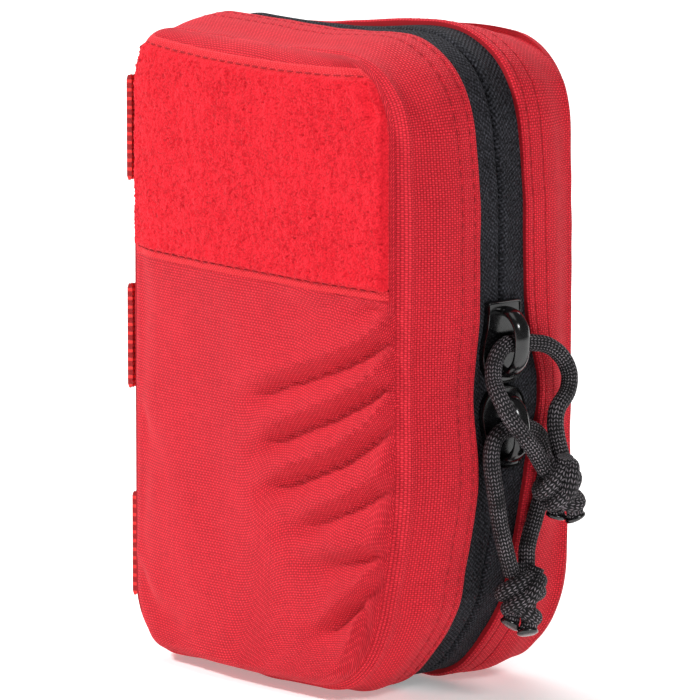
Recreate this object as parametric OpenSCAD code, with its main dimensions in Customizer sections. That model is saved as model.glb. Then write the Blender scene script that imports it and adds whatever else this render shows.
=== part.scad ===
// Soft first aid case: two zipped halves on a fabric spine, with webbing rows
// outside, two zip sliders with cord pulls, and the dressings that it carries.
// X runs from the spine to the zip side, Y from front to back, Z upwards.

/* [Case] */
// Width of the front and back panels, seam to seam
panel_w = 95; // [92:1:110]
// Height of the front and back panels, seam to seam
panel_h = 149; // [147:1:165]
// Depth of each half, from its panel to the zip line
half_d = 27; // [27:0.5:32]
// How far the side strip swells past the seams at the zip
bulge = 2.5; // [1.5:0.5:3.5]
// Thickness of the shell fabric
wall = 1.6; // [1.2:0.1:2]
// Corner radius at the top, on the zip side
top_r = 18; // [14:1:24]
// Corner radius at the bottom, on the zip side
bottom_r = 28; // [20:1:30]
// Corner radius beside the spine
spine_r = 15; // [12:1:18]
// How much the front panel stands forward at its middle
crown = 3; // [2:0.5:5]

/* [Front patch] */
// Height of the loop fabric patch
patch_h = 52; // [40:1:60]
// Thickness of the loop fabric
patch_t = 1.6; // [1:0.1:2.5]

/* [Webbing] */
// Width of the webbing tape
webbing_w = 25; // [20:1:30]
// Thickness of the webbing tape
webbing_t = 1.2; // [1:0.1:1.6]
// Distance from one webbing row to the next
row_pitch = 50; // [45:1:52]

/* [Zip] */
// Width of zip tape that shows between the fabric edges
tape_show = 14; // [12:0.5:16]
// Length of a slider
slider_l = 19; // [17:0.5:20]
// Width of a slider
slider_w = 13; // [11:0.5:13.2]
// Diameter of the pull cord
cord_d = 4; // [3.5:0.1:4.2]

/* [Hidden] */
$fn = 64;

// Case outline: the seams stand this far above the surface it rests on
seam_z = bulge;
top_z = seam_z + panel_h;
half_w = panel_w / 2;
case_h = panel_h + 2 * bulge;
// The side strips run this far round the corners beside the spine
wrap = 60;
// The side strip is level this far either side of the zip line
level_d = 12;

// Layers of each half, measured inwards from its panel
foam_t = 2;
lining_t = 0.8;
lining_y = half_d - foam_t - lining_t;
binding_w = 3;
binding_t = 1.8;

// Zip layers, measured outwards from the seam outline
tape_t = 0.8;
tape_gap = 1.4;
tape_w = level_d - tape_gap / 2;
tape_out = bulge - wall;
tape_in = tape_out - tape_t;
coil_t = 1.8;
coil_w = 2.3;
play = 0.3;
plate_t = 1.8;
// The filled case pushes its zip out past the level side strip, and the sliders with it
side_swell = 5;
plate_in = tape_out + play + side_swell;
plate_out = plate_in + plate_t;
heel_t = 1.2;
heel_out = tape_in - coil_t - play;
post_t = 0.7;
slider_gap = 1;
slider_mid = 0.49 * case_h;
upper_z = slider_mid + (slider_l + slider_gap) / 2;
lower_z = slider_mid - (slider_l + slider_gap) / 2;
bridge_l = 11;
bridge_w = 4;
bridge_t = 2;
bridge_h = cord_d + 2 * play + bridge_t;
bridge_x = half_w + plate_out;
stop_l = 3;
stop_more = 0.4;
stop_side = 1;

// Webbing rows stand off the panels so that a strap passes behind them
channel = 1.4;
row_out = channel + webbing_t;
row_mid = case_h / 2 - 1;
tack = 4;
fold_gap = 0.8;
strap_gap = 0.1;
strap_h = 132;
strap_x = 22;
stud_r = 6;
stud_t = 2.2;
back_y = half_d + wall;
front_y = half_d + wall + crown;
crown_r = (half_w * half_w + crown * crown) / (2 * crown);

// The frame's origin is the bottom centre of the case with its bridges
x_low = -half_w - row_out;
x_high = bridge_x + bridge_h;
y_low = -front_y - patch_t;
y_high = back_y + strap_gap + webbing_t + stud_t;
case_x = -(x_low + x_high) / 2;
case_y = -(y_low + y_high) / 2;

// Supplies inside
inner_w = panel_w - 2 * wall - 12;
roll_r = 13;
roll_z = 26;
gauze_r = 12;
gauze_z = roll_z + roll_r + gauze_r + 4;
gauze_l = 34;
band_t = 1;
roll_y = lining_y - roll_r - band_t;
gauze_y = lining_y - gauze_r - band_t;
roll_fit = 0.15;
roll_inset = 3;
band_w = 25;
tape_roll_r = 17;
tape_core_r = 9;
tape_bore_r = 7;
tape_roll_w = 18;
tape_roll_x = 22;
tape_roll_z = gauze_z + 8;
cloth_z = 97;
cloth_h = 44;
cloth_w = 70;
cloth_t = 9;
pocket_z = 10;
pocket_h = 82;
pocket_d = 11;
mesh_t = 0.8;
trim_h = 9;
trim_t = 1.4;
pack_t = 4.5;
pack_gap = 3;
pack_w = 34;
pack_x = 19;
pack_y = 0.1 - lining_y;
pack_z = pocket_z + mesh_t + 0.4;
plaster_h = 50;
wipes_h = 46;
blanket_w = 66;
blanket_h = 62;

// Cord routes from the middle of the bridge to the knot, in the case's own frame
upper_front_route = [
    [57.8, 0, 85.4], [57.8, -1.8, 85.4], [57.8, -4.2, 83.8], [58, -6, 80.8],
    [59.3, -7, 77.1], [61.9, -7.2, 73.5], [63.9, -6, 69.4], [65.1, -3.6, 65.7],
    [65.7, -0.6, 61.8], [66, 2.4, 57.3], [66.2, 3.6, 56.2]];
upper_rear_route = [
    [57.8, 0, 85.4], [57.8, 1.8, 85.4], [58.6, 5.5, 85.1], [59.5, 9.5, 84.1],
    [60.4, 13, 81.2], [61.3, 14.5, 77.2], [62, 13.3, 73.2], [62.7, 9.6, 69.7],
    [63.3, 8.4, 66.2], [64.6, 8.2, 61.8], [66.3, 8.3, 57.6]];
lower_front_route = [
    [57.8, 0, 65.4], [57.8, -1.8, 65.4], [57.8, -3.8, 64.9], [57.7, -5.6, 63.1],
    [57.7, -6.4, 59.6], [57.8, -6, 55.2], [57.9, -5, 49.5], [58, -4, 43.5],
    [58.3, -2.8, 38.5], [58.2, -1.4, 34.3], [57.7, 0.1, 31.4]];
lower_rear_route = [
    [57.8, 0, 65.4], [57.8, 1.8, 65.4], [57.8, 4.6, 65.2], [57.6, 8, 63.4],
    [57, 10.6, 60], [56.4, 11.8, 55.8], [56, 11.5, 51], [55.8, 10.2, 46.2],
    [55.7, 8.4, 41.4], [55.9, 6.6, 37], [56.8, 5.5, 33.6], [57.6, 4.9, 31.2]];
upper_knot_at = [66.6, 6.4, 52.5];
upper_tip_at = [65.7, 8.5, 43.4];
lower_knot_at = [58.2, 2.5, 26];
lower_tip_at = [58.4, 0.4, 19];
knot_r = 6;
tip_r = 3.3;
cord_sides = 10;

red = [0.84, 0.10, 0.16];
bright_red = [0.95, 0.16, 0.20];
black = [0.07, 0.07, 0.08];
grey = [0.28, 0.28, 0.30];
white = [0.93, 0.92, 0.88];

// ---- Shared shapes ----

// Moves a shape from the case's own frame to the part's frame
module in_case() translate([case_x, case_y, 0]) children();

// Turns a flat shape drawn in X and Z into a plate from y0 to y1
module plate(y0, y1) translate([0, y1, 0]) rotate([90, 0, 0]) linear_extrude(y1 - y0) children();

// Rounded rectangle of the seams, grown by o
module outline(o) {
    w = half_w + o;
    low = seam_z - o;
    high = top_z + o;
    corners = [[1, top_r, high], [-1, spine_r, high], [1, bottom_r, low], [-1, spine_r, low]];
    for (c = corners) {
        r = c[1] + o;
        up = c[2] == high ? -1 : 1;
        translate([c[0] * (w - r), c[2] + up * r]) circle(r);
    }
    translate([-w + spine_r + o, high - top_r - o]) square([2 * w - spine_r - top_r - 2 * o, top_r + o]);
    translate([-w + spine_r + o, low]) square([2 * w - spine_r - bottom_r - 2 * o, bottom_r + o]);
    translate([-w, low + spine_r + o]) square([w, high - low - 2 * spine_r - 2 * o]);
    translate([0, low + bottom_r + o]) square([w, high - low - bottom_r - top_r - 2 * o]);
}

// Sweeps a profile, drawn as outward distance against Y, round a corner of radius r
module corner_run(x, z, r, from, turn)
    translate([x, 0, z]) rotate([-90, 0, 0]) rotate([0, 0, from])
        rotate_extrude(angle = turn) translate([r, 0]) children();

// The same at the bottom corner beside the spine, and mirrored at the top one
module spine_corners(from, turn)
    for (z = [0, 1]) translate([0, 0, z * case_h]) mirror([0, 0, z])
        corner_run(spine_r - half_w, seam_z + spine_r, spine_r, from, turn) children();

// Sweeps a profile along the top, the zip side and the bottom
module zip_run() {
    corner_run(half_w - top_r, top_z - top_r, top_r, -90, 90) children();
    corner_run(half_w - bottom_r, seam_z + bottom_r, bottom_r, 0, 90) children();
    spine_corners(90, wrap) children();
    translate([half_w, 0, seam_z + bottom_r]) linear_extrude(panel_h - top_r - bottom_r) children();
    translate([half_w - top_r, 0, top_z]) rotate([0, -90, 0])
        linear_extrude(panel_w - top_r - spine_r) children();
    translate([spine_r - half_w, 0, seam_z]) rotate([0, 90, 0])
        linear_extrude(panel_w - bottom_r - spine_r) children();
}

// Sweeps a profile along the spine between the ends of the side strips
module spine_run() {
    spine_corners(180, wrap - 90) children();
    translate([-half_w, 0, seam_z + spine_r]) mirror([1, 0, 0])
        linear_extrude(panel_h - 2 * spine_r) children();
}

// Swell of the side strip at a distance from the zip line
function swell(y) = y <= level_d ? bulge : bulge * (1 - pow((y - level_d) / (half_d - level_d), 2));

// Section of the side strip: side is -1 for the front half and 1 for the back
module gusset_section(side) {
    ys = concat([tape_show / 2], [for (i = [0:4]) level_d + i * (half_d - level_d) / 4]);
    outer = [for (y = ys) [swell(y), side * y]];
    inner = [for (i = [len(ys) - 1:-1:0]) [swell(ys[i]) - wall, side * ys[i]]];
    polygon(concat(outer, inner));
}

// Rectangle in a profile, from o0 to o1 outwards and y0 to y1 away from the zip line
module band_section(side, o0, o1, y0, y1)
    translate([o0, side > 0 ? y0 : -y1]) square([o1 - o0, y1 - y0]);

// Rounded plate in X and Z
module soft_rect(w, h, r) {
    translate([-w / 2 + r, 0]) square([w - 2 * r, h]);
    translate([-w / 2, r]) square([w, h - 2 * r]);
    for (x = [-1, 1], z = [0, 1]) translate([x * (w / 2 - r), z == 0 ? r : h - r]) circle(r);
}

// Flat packet from y0 to y1, standing on z
module packet(x, z, w, h, y0, y1)
    translate([x, 0, z]) plate(y0, y1) soft_rect(w, h, 2);

// Section of a webbing row on one half of the spine, with a stitched end
module spine_row_section() {
    end = half_d - 2;
    out = row_out;
    polygon([[0, end], [webbing_t, end], [webbing_t, end - tack], [out, end - 2 * tack],
        [out, fold_gap / 2], [channel, fold_gap / 2], [channel, end - 2 * tack], [0, end - tack]]);
}

module spine_row(side, z)
    translate([-half_w, 0, z - webbing_w / 2]) rotate([0, 0, side > 0 ? 0 : 180])
        mirror([side > 0 ? 1 : 0, 0, 0]) linear_extrude(webbing_w) spine_row_section();

// Section of a rear webbing row: stitched at both ends and in the middle
module rear_row_section() {
    end = half_w - 4;
    up = tack * 0.8;
    side = [[0, 0], [tack / 2, 0], [tack / 2 + up, channel], [end - tack - up, channel], [end - tack, 0],
        [end, 0]];
    top = [[end, webbing_t], [end - tack, webbing_t], [end - tack - up, row_out], [tack / 2 + up, row_out],
        [tack / 2, webbing_t], [0, webbing_t]];
    polygon(concat(side, top));
    mirror([1, 0]) polygon(concat(side, top));
}

module rear_row(z)
    color(bright_red) in_case() translate([0, back_y, z - webbing_w / 2])
        linear_extrude(webbing_w) rear_row_section();

module strap(x)
    color(red) in_case() translate([x - webbing_w / 2, back_y + strap_gap, (case_h - strap_h) / 2])
        cube([webbing_w, webbing_t, strap_h]);

// Elastic band over a roll: a half ring with straight sides back to the lining
module roll_band(y, z, r, x)
    translate([x - band_w / 2, 0, 0]) rotate([90, 0, 90]) linear_extrude(band_w) difference() {
        union() {
            translate([y, z]) circle(r + band_t);
            translate([y, z - r - band_t]) square([lining_y - y, 2 * (r + band_t)]);
        }
        translate([y, z]) circle(r);
        translate([y, z - r]) square([lining_y - y, 2 * r]);
    }

// Plan of a slider plate, wide at the nose (up) and narrow at the tail
module slider_plan(w, l) {
    r = w / 2;
    tail = w * 0.36;
    translate([0, l / 2 - r]) circle(r);
    translate([-tail, 2 - l / 2]) square([2 * tail, l - r - 2]);
    translate([-tail + 2, -l / 2]) square([2 * tail - 4, 2]);
    for (x = [-1, 1]) translate([x * (tail - 2), 2 - l / 2]) circle(2);
}

// Slider body at height z: nose is 1 when it points up and -1 when it points down
module slider(z, nose)
    color(black) in_case() translate([half_w, 0, z]) mirror([0, 0, nose > 0 ? 0 : 1]) {
        rotate([90, 0, 90]) translate([0, 0, plate_in]) linear_extrude(plate_t)
            slider_plan(slider_w, slider_l);
        rotate([90, 0, 90]) translate([0, 0, heel_out - heel_t]) linear_extrude(heel_t)
            slider_plan(slider_w - 2, slider_l - 2);
        translate([heel_out, -post_t / 2, 2]) cube([plate_in - heel_out, post_t, slider_l / 2 - 4]);
    }

// Arch that the pull cord passes through
module bridge(z) {
    r = 2.4;
    color(black) in_case() translate([bridge_x, 0, z]) plate(-bridge_w / 2, bridge_w / 2) difference() {
        union() {
            translate([0, -bridge_l / 2]) square([bridge_h - r, bridge_l]);
            translate([0, r - bridge_l / 2]) square([bridge_h, bridge_l - 2 * r]);
            for (s = [-1, 1]) translate([bridge_h - r, s * (bridge_l / 2 - r)]) circle(r);
        }
        translate([-1, bridge_t - bridge_l / 2]) square([bridge_h - bridge_t + 1, bridge_l - 2 * bridge_t]);
    }
}

function unit(v) = v / norm(v);
function heading(p, i) = unit(p[min(i + 1, len(p) - 1)] - p[max(i - 1, 0)]);
function ring(p, i, d, n) =
    let (t = heading(p, i), s = unit(cross(t, [1, 0, 0])), u = cross(s, t))
    [for (k = [0:n - 1]) p[i] + d / 2 * (cos(360 * k / n) * s + sin(360 * k / n) * u)];

// Round cord swept along a route
module cord(route, d, n) {
    m = len(route);
    points = [for (i = [0:m - 1]) each ring(route, i, d, n)];
    sides = [for (i = [0:m - 2], k = [0:n - 1])
        let (a = i * n + k, b = i * n + (k + 1) % n)
        each [[a, b, b + n], [a, b + n, a + n]]];
    start = [for (k = [n - 1:-1:0]) k];
    end = [for (k = [0:n - 1]) (m - 1) * n + k];
    polyhedron(points, concat([start], sides, [end]));
}

module pull_cord(route) color(black) in_case() cord(route, cord_d, cord_sides);

// Knot with its short cut tails
module knot(at, tip) {
    d = tip - at;
    color(black) in_case() translate(at) {
        sphere(knot_r);
        rotate([0, acos(d[2] / norm(d)), atan2(d[1], d[0])]) cylinder(h = norm(d), r = tip_r);
    }
}

// ---- Front half ----

// Space in front of the zip line and inside an upright cylinder that crowns the panel
module crown_cylinder(extra)
    translate([0, crown_r - front_y, -1]) cylinder(h = case_h + 2, r = crown_r + extra, $fn = 720);

module front_panel() color(red) in_case() intersection() {
    plate(-front_y - 1, -half_d) outline(0);
    crown_cylinder(0);
}

module loop_patch() {
    fit = 0.03;
    inset = 1;
    high = top_z - 2.5;
    color(bright_red) in_case() intersection() {
        plate(-front_y - patch_t - 1, -half_d) outline(-inset);
        difference() {
            crown_cylinder(patch_t);
            crown_cylinder(fit);
        }
        translate([-half_w, -front_y - patch_t - 1, high - patch_h])
            cube([panel_w, front_y + patch_t + 1, patch_h]);
    }
}

module front_gusset() color(red) in_case() zip_run() gusset_section(-1);
module front_spine() color(red) in_case() spine_run() band_section(-1, -wall, 0, fold_gap / 2, half_d);
module front_foam() color(grey) in_case() plate(-half_d, foam_t - half_d) outline(-wall - 3);
module front_lining() color(grey) in_case() plate(-lining_y - lining_t, -lining_y) outline(-wall - binding_t);

module binding_section(side)
    band_section(side, -wall - binding_t, -wall, lining_y, lining_y + binding_w - 0.5);

module front_binding() color(black) in_case() {
    zip_run() binding_section(-1);
    spine_run() binding_section(-1);
}

module tape_section(side) band_section(side, tape_in, tape_out, tape_gap / 2, tape_gap / 2 + tape_w);
module coil_section(side) band_section(side, tape_in - coil_t, tape_in, tape_gap / 2, tape_gap / 2 + coil_w);
module stop_section(side)
    band_section(side, tape_in - coil_t - stop_more, tape_in, tape_gap / 2, tape_gap / 2 + coil_w + stop_side);

// Crimped stops past the two ends of a coil, round the corners beside the spine
module zip_stops(side) color(black) in_case() {
    turn = stop_l / spine_r * 60;
    spine_corners(90 + wrap - turn, turn) stop_section(side);
}

// The coil stops short of the metal stops
module zip_coil(side) color(black) in_case() difference() {
    zip_run() coil_section(side);
    translate([-half_w - 1, -half_d, seam_z]) cube([spine_r * 0.62, 2 * half_d, panel_h]);
}

module front_zip_tape() color(black) in_case() zip_run() tape_section(-1);
module front_zip_coil() zip_coil(-1);
module front_zip_stops() zip_stops(-1);

module front_spine_row_top() color(bright_red) in_case() spine_row(-1, row_mid + row_pitch);
module front_spine_row_middle() color(bright_red) in_case() spine_row(-1, row_mid);
module front_spine_row_bottom() color(bright_red) in_case() spine_row(-1, row_mid - row_pitch);

// Pocket of mesh, open at the top, sewn to the front lining
module mesh_pocket() color(grey) in_case() difference() {
    packet(0, pocket_z, inner_w, pocket_h, -lining_y, pocket_d - lining_y);
    translate([mesh_t - inner_w / 2, -lining_y - 1, pocket_z + mesh_t])
        cube([inner_w - 2 * mesh_t, pocket_d + 1 - mesh_t, pocket_h]);
}

module pocket_trim() color(black) in_case()
    translate([-inner_w / 2, pocket_d - lining_y, pocket_z + pocket_h - trim_h])
        cube([inner_w, trim_t, trim_h]);

module plaster_pack() color(white) in_case()
    packet(-pack_x, pack_z, pack_w, plaster_h, pack_y, pack_y + pack_t);
module wipes_pack() color(white) in_case()
    packet(pack_x, pack_z, pack_w, wipes_h, pack_y, pack_y + pack_t);
module foil_blanket() color("silver") in_case()
    packet(0, pack_z + plaster_h + pack_gap, blanket_w, blanket_h, pack_y, pack_y + pack_t);

// ---- Back half ----

module back_panel() color(red) in_case() plate(half_d, back_y) outline(0);
module back_gusset() color(red) in_case() zip_run() gusset_section(1);
module back_spine() color(red) in_case() spine_run() band_section(1, -wall, 0, fold_gap / 2, half_d);
module back_stiffener() color(white) in_case() plate(half_d - foam_t, half_d) outline(-wall - 3);
module back_lining() color(grey) in_case() plate(lining_y, lining_y + lining_t) outline(-wall - binding_t);
module back_binding() color(black) in_case() {
    zip_run() binding_section(1);
    spine_run() binding_section(1);
}
module back_zip_tape() color(black) in_case() zip_run() tape_section(1);
module back_zip_coil() zip_coil(1);
module back_zip_stops() zip_stops(1);
module back_spine_row_top() color(bright_red) in_case() spine_row(1, row_mid + row_pitch);
module back_spine_row_middle() color(bright_red) in_case() spine_row(1, row_mid);
module back_spine_row_bottom() color(bright_red) in_case() spine_row(1, row_mid - row_pitch);
module rear_row_top() rear_row(row_mid + row_pitch);
module rear_row_middle() rear_row(row_mid);
module rear_row_bottom() rear_row(row_mid - row_pitch);
module strap_left() strap(-strap_x);
module strap_right() strap(strap_x);

// Press studs on the straps, between the middle and the bottom row
module press_studs() color(black) in_case() for (x = [-strap_x, strap_x])
    translate([x, back_y + strap_gap + webbing_t, row_mid - row_pitch / 2])
        rotate([-90, 0, 0]) cylinder(h = stud_t, r = stud_r);

module roll(y, z, r, x0, x1) translate([x0, y, z]) rotate([0, 90, 0]) cylinder(h = x1 - x0, r = r);

module elastic_bandage() color(white) in_case()
    roll(roll_y, roll_z, roll_r - roll_fit, -inner_w / 2 + roll_inset, inner_w / 2 - roll_inset);
module gauze_roll() color(white) in_case()
    roll(gauze_y, gauze_z, gauze_r - roll_fit, roll_inset - inner_w / 2, roll_inset - inner_w / 2 + gauze_l);
module bandage_band() color(black) in_case() roll_band(roll_y, roll_z, roll_r, 0);
module gauze_band() color(black) in_case()
    roll_band(gauze_y, gauze_z, gauze_r, -inner_w / 2 + roll_inset + gauze_l / 2);

module ring_at(r_in, r_out) translate([tape_roll_x, lining_y - 0.4, tape_roll_z])
    rotate([90, 0, 0]) difference() {
        cylinder(h = tape_roll_w, r = r_out);
        translate([0, 0, -1]) cylinder(h = tape_roll_w + 2, r = r_in);
    }
module tape_roll() color(white) in_case() ring_at(tape_core_r + 0.03, tape_roll_r);
module tape_core() color(grey) in_case() ring_at(tape_bore_r, tape_core_r);

module triangular_bandage() color(white) in_case()
    packet(0, cloth_z, cloth_w, cloth_h, lining_y - cloth_t, lining_y - 0.4);

// Elastic band across the folded cloth, with both ends turned back to the lining
module cloth_band() {
    w = cloth_w + 1;
    deep = cloth_t + 0.3 + band_t;
    color(black) in_case() translate([0, 0, cloth_z + (cloth_h - band_w) / 2]) difference() {
        translate([-w / 2 - band_t, lining_y - deep, 0]) cube([w + 2 * band_t, deep, band_w]);
        translate([-w / 2, lining_y - deep + band_t, -1]) cube([w, deep, band_w + 2]);
    }
}

// ---- Sliders and pulls ----

module upper_slider() slider(upper_z, -1);
module lower_slider() slider(lower_z, 1);
module upper_bridge() bridge(upper_z);
module lower_bridge() bridge(lower_z);
module upper_cord_front() pull_cord(upper_front_route);
module upper_cord_rear() pull_cord(upper_rear_route);
module lower_cord_front() pull_cord(lower_front_route);
module lower_cord_rear() pull_cord(lower_rear_route);
module upper_knot() knot(upper_knot_at, upper_tip_at);
module lower_knot() knot(lower_knot_at, lower_tip_at);

front_panel();
loop_patch();
front_gusset();
front_spine();
front_foam();
front_lining();
front_binding();
front_zip_tape();
front_zip_coil();
front_zip_stops();
front_spine_row_top();
front_spine_row_middle();
front_spine_row_bottom();
mesh_pocket();
pocket_trim();
plaster_pack();
wipes_pack();
foil_blanket();
back_panel();
back_gusset();
back_spine();
back_stiffener();
back_lining();
back_binding();
back_zip_tape();
back_zip_coil();
back_zip_stops();
back_spine_row_top();
back_spine_row_middle();
back_spine_row_bottom();
rear_row_top();
rear_row_middle();
rear_row_bottom();
strap_left();
strap_right();
press_studs();
elastic_bandage();
gauze_roll();
tape_roll();
tape_core();
triangular_bandage();
bandage_band();
gauze_band();
cloth_band();
upper_slider();
upper_bridge();
upper_cord_front();
upper_cord_rear();
upper_knot();
lower_slider();
lower_bridge();
lower_cord_front();
lower_cord_rear();
lower_knot();
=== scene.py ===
"""Soft first aid case: fabric, webbing, zip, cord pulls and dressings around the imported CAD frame."""
import math
from functools import partialmethod

import bmesh
import bpy
import numpy as np
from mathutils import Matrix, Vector


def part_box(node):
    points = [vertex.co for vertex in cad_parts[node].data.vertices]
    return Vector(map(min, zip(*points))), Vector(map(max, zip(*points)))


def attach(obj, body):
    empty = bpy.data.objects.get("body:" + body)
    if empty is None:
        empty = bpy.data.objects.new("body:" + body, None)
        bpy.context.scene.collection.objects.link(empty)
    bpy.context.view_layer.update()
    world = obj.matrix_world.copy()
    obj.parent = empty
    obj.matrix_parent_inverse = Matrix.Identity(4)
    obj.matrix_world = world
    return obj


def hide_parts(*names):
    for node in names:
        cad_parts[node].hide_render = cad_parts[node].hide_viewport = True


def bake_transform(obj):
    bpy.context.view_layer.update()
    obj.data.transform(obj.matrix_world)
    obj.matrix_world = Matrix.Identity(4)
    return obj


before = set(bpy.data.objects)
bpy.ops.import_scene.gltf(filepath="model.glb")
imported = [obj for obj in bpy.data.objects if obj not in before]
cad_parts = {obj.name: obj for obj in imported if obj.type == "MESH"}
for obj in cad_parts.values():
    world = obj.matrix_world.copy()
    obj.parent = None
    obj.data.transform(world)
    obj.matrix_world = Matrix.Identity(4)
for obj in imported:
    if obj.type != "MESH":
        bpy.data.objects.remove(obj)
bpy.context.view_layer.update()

# ---------------------------------------------------------------- sizes, in mm in the case's own frame
PI, TAU = math.pi, math.tau
MM = 0.001
panel_low, panel_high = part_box("back_panel")
HALF_W = (panel_high.x - panel_low.x) / 2 / MM
CASE_X = (panel_high.x + panel_low.x) / 2 / MM
CASE_Y = (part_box("front_zip_tape")[1].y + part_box("back_zip_tape")[0].y) / 2 / MM
HALF_D = panel_low.y / MM - CASE_Y
BACK_Y = panel_high.y / MM - CASE_Y
FRONT_Y = -(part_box("front_panel")[0].y / MM - CASE_Y)
SEAM_Z, TOP_Z = panel_low.z / MM, panel_high.z / MM
BULGE = SEAM_Z
WALL = 1.6
TOP_R, BOTTOM_R, SPINE_R = 18.0, 28.0, 15.0  # corner radii of the seam outline
ZIP_EDGE = 7.0
ROW_Z = (26.0, 76.0, 126.0)
WEBBING_W, WEBBING_T = 25.0, 1.2
SIDES = (("front", -1), ("back", 1))
CORD_D = 4.0


def to_row(points):
    """Case-frame millimetres to row-frame metres."""
    return (np.asarray(points, float) + [CASE_X, CASE_Y, 0]) * MM


def node_box(node):
    """Corners of a CAD node, in case-frame millimetres."""
    return [np.array(corner) / MM - [CASE_X, CASE_Y, 0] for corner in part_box(node)]


def smooth01(t):
    t = np.clip(t, 0, 1)
    return t * t * (3 - 2 * t)


def put(obj, target, azimuth, elevation, distance):
    """Adds an object that looks at the target; azimuth 0 is in front of the case."""
    a, e = math.radians(azimuth), math.radians(elevation)
    away = Vector((math.sin(a) * math.cos(e), -math.cos(a) * math.cos(e), math.sin(e)))
    bpy.context.scene.collection.objects.link(obj)
    obj.location = Vector(target) + away * distance
    obj.rotation_mode = "QUATERNION"
    obj.rotation_quaternion = (-away).to_track_quat("-Z", "Y")
    return obj


# ---------------------------------------------------------------- camera
camera = bpy.data.objects.new("camera", bpy.data.cameras.new("camera"))
put(camera, to_row((0.3, 0.35, 76.2)), azimuth=49, elevation=10, distance=2.118)
camera.data.sensor_width = 36
camera.data.lens = 462.9
camera.data.clip_start, camera.data.clip_end = 0.1, 100
bpy.context.scene.camera = camera
bpy.context.scene.view_settings.view_transform = "Standard"


# ---------------------------------------------------------------- mesh helpers
def grid_faces(n, m, base=0, wrap=False, flip=False):
    """Quads of an n by m grid of points, whose second direction may close on itself."""
    faces = []
    for i in range(n - 1):
        for j in range(m if wrap else m - 1):
            k = (j + 1) % m
            f = (base + i * m + j, base + (i + 1) * m + j, base + (i + 1) * m + k, base + i * m + k)
            faces.append(f[::-1] if flip else f)
    return faces


def end_faces(n, m):
    """The two end faces of n rings of m points."""
    return [tuple(range(m))[::-1], tuple((n - 1) * m + j for j in range(m))]


def closing_faces(n, m):
    """Quads that join the last of n rings of m points to the first."""
    return [((n - 1) * m + j, j, (j + 1) % m, (n - 1) * m + (j + 1) % m) for j in range(m)]


def grids(a, b):
    """Two grids from a column and a row of values."""
    return np.meshgrid(a, b, indexing="ij")


def running(*axes):
    """Running length along a line, from its coordinates."""
    return np.concatenate([[0], np.cumsum(np.sqrt(sum(np.diff(a) ** 2 for a in axes)))])


def circle(n):
    return TAU * np.arange(n) / n


def rings_about(rings, x, z, n):
    """Circles of points about a line along Y; each ring is its radius and its depth."""
    a = circle(n)
    return np.array([np.stack([x + r * np.cos(a), np.full(n, float(y)), z + r * np.sin(a)], 1)
                     for r, y in rings])


def unit(v):
    return v / np.linalg.norm(v)


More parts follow.
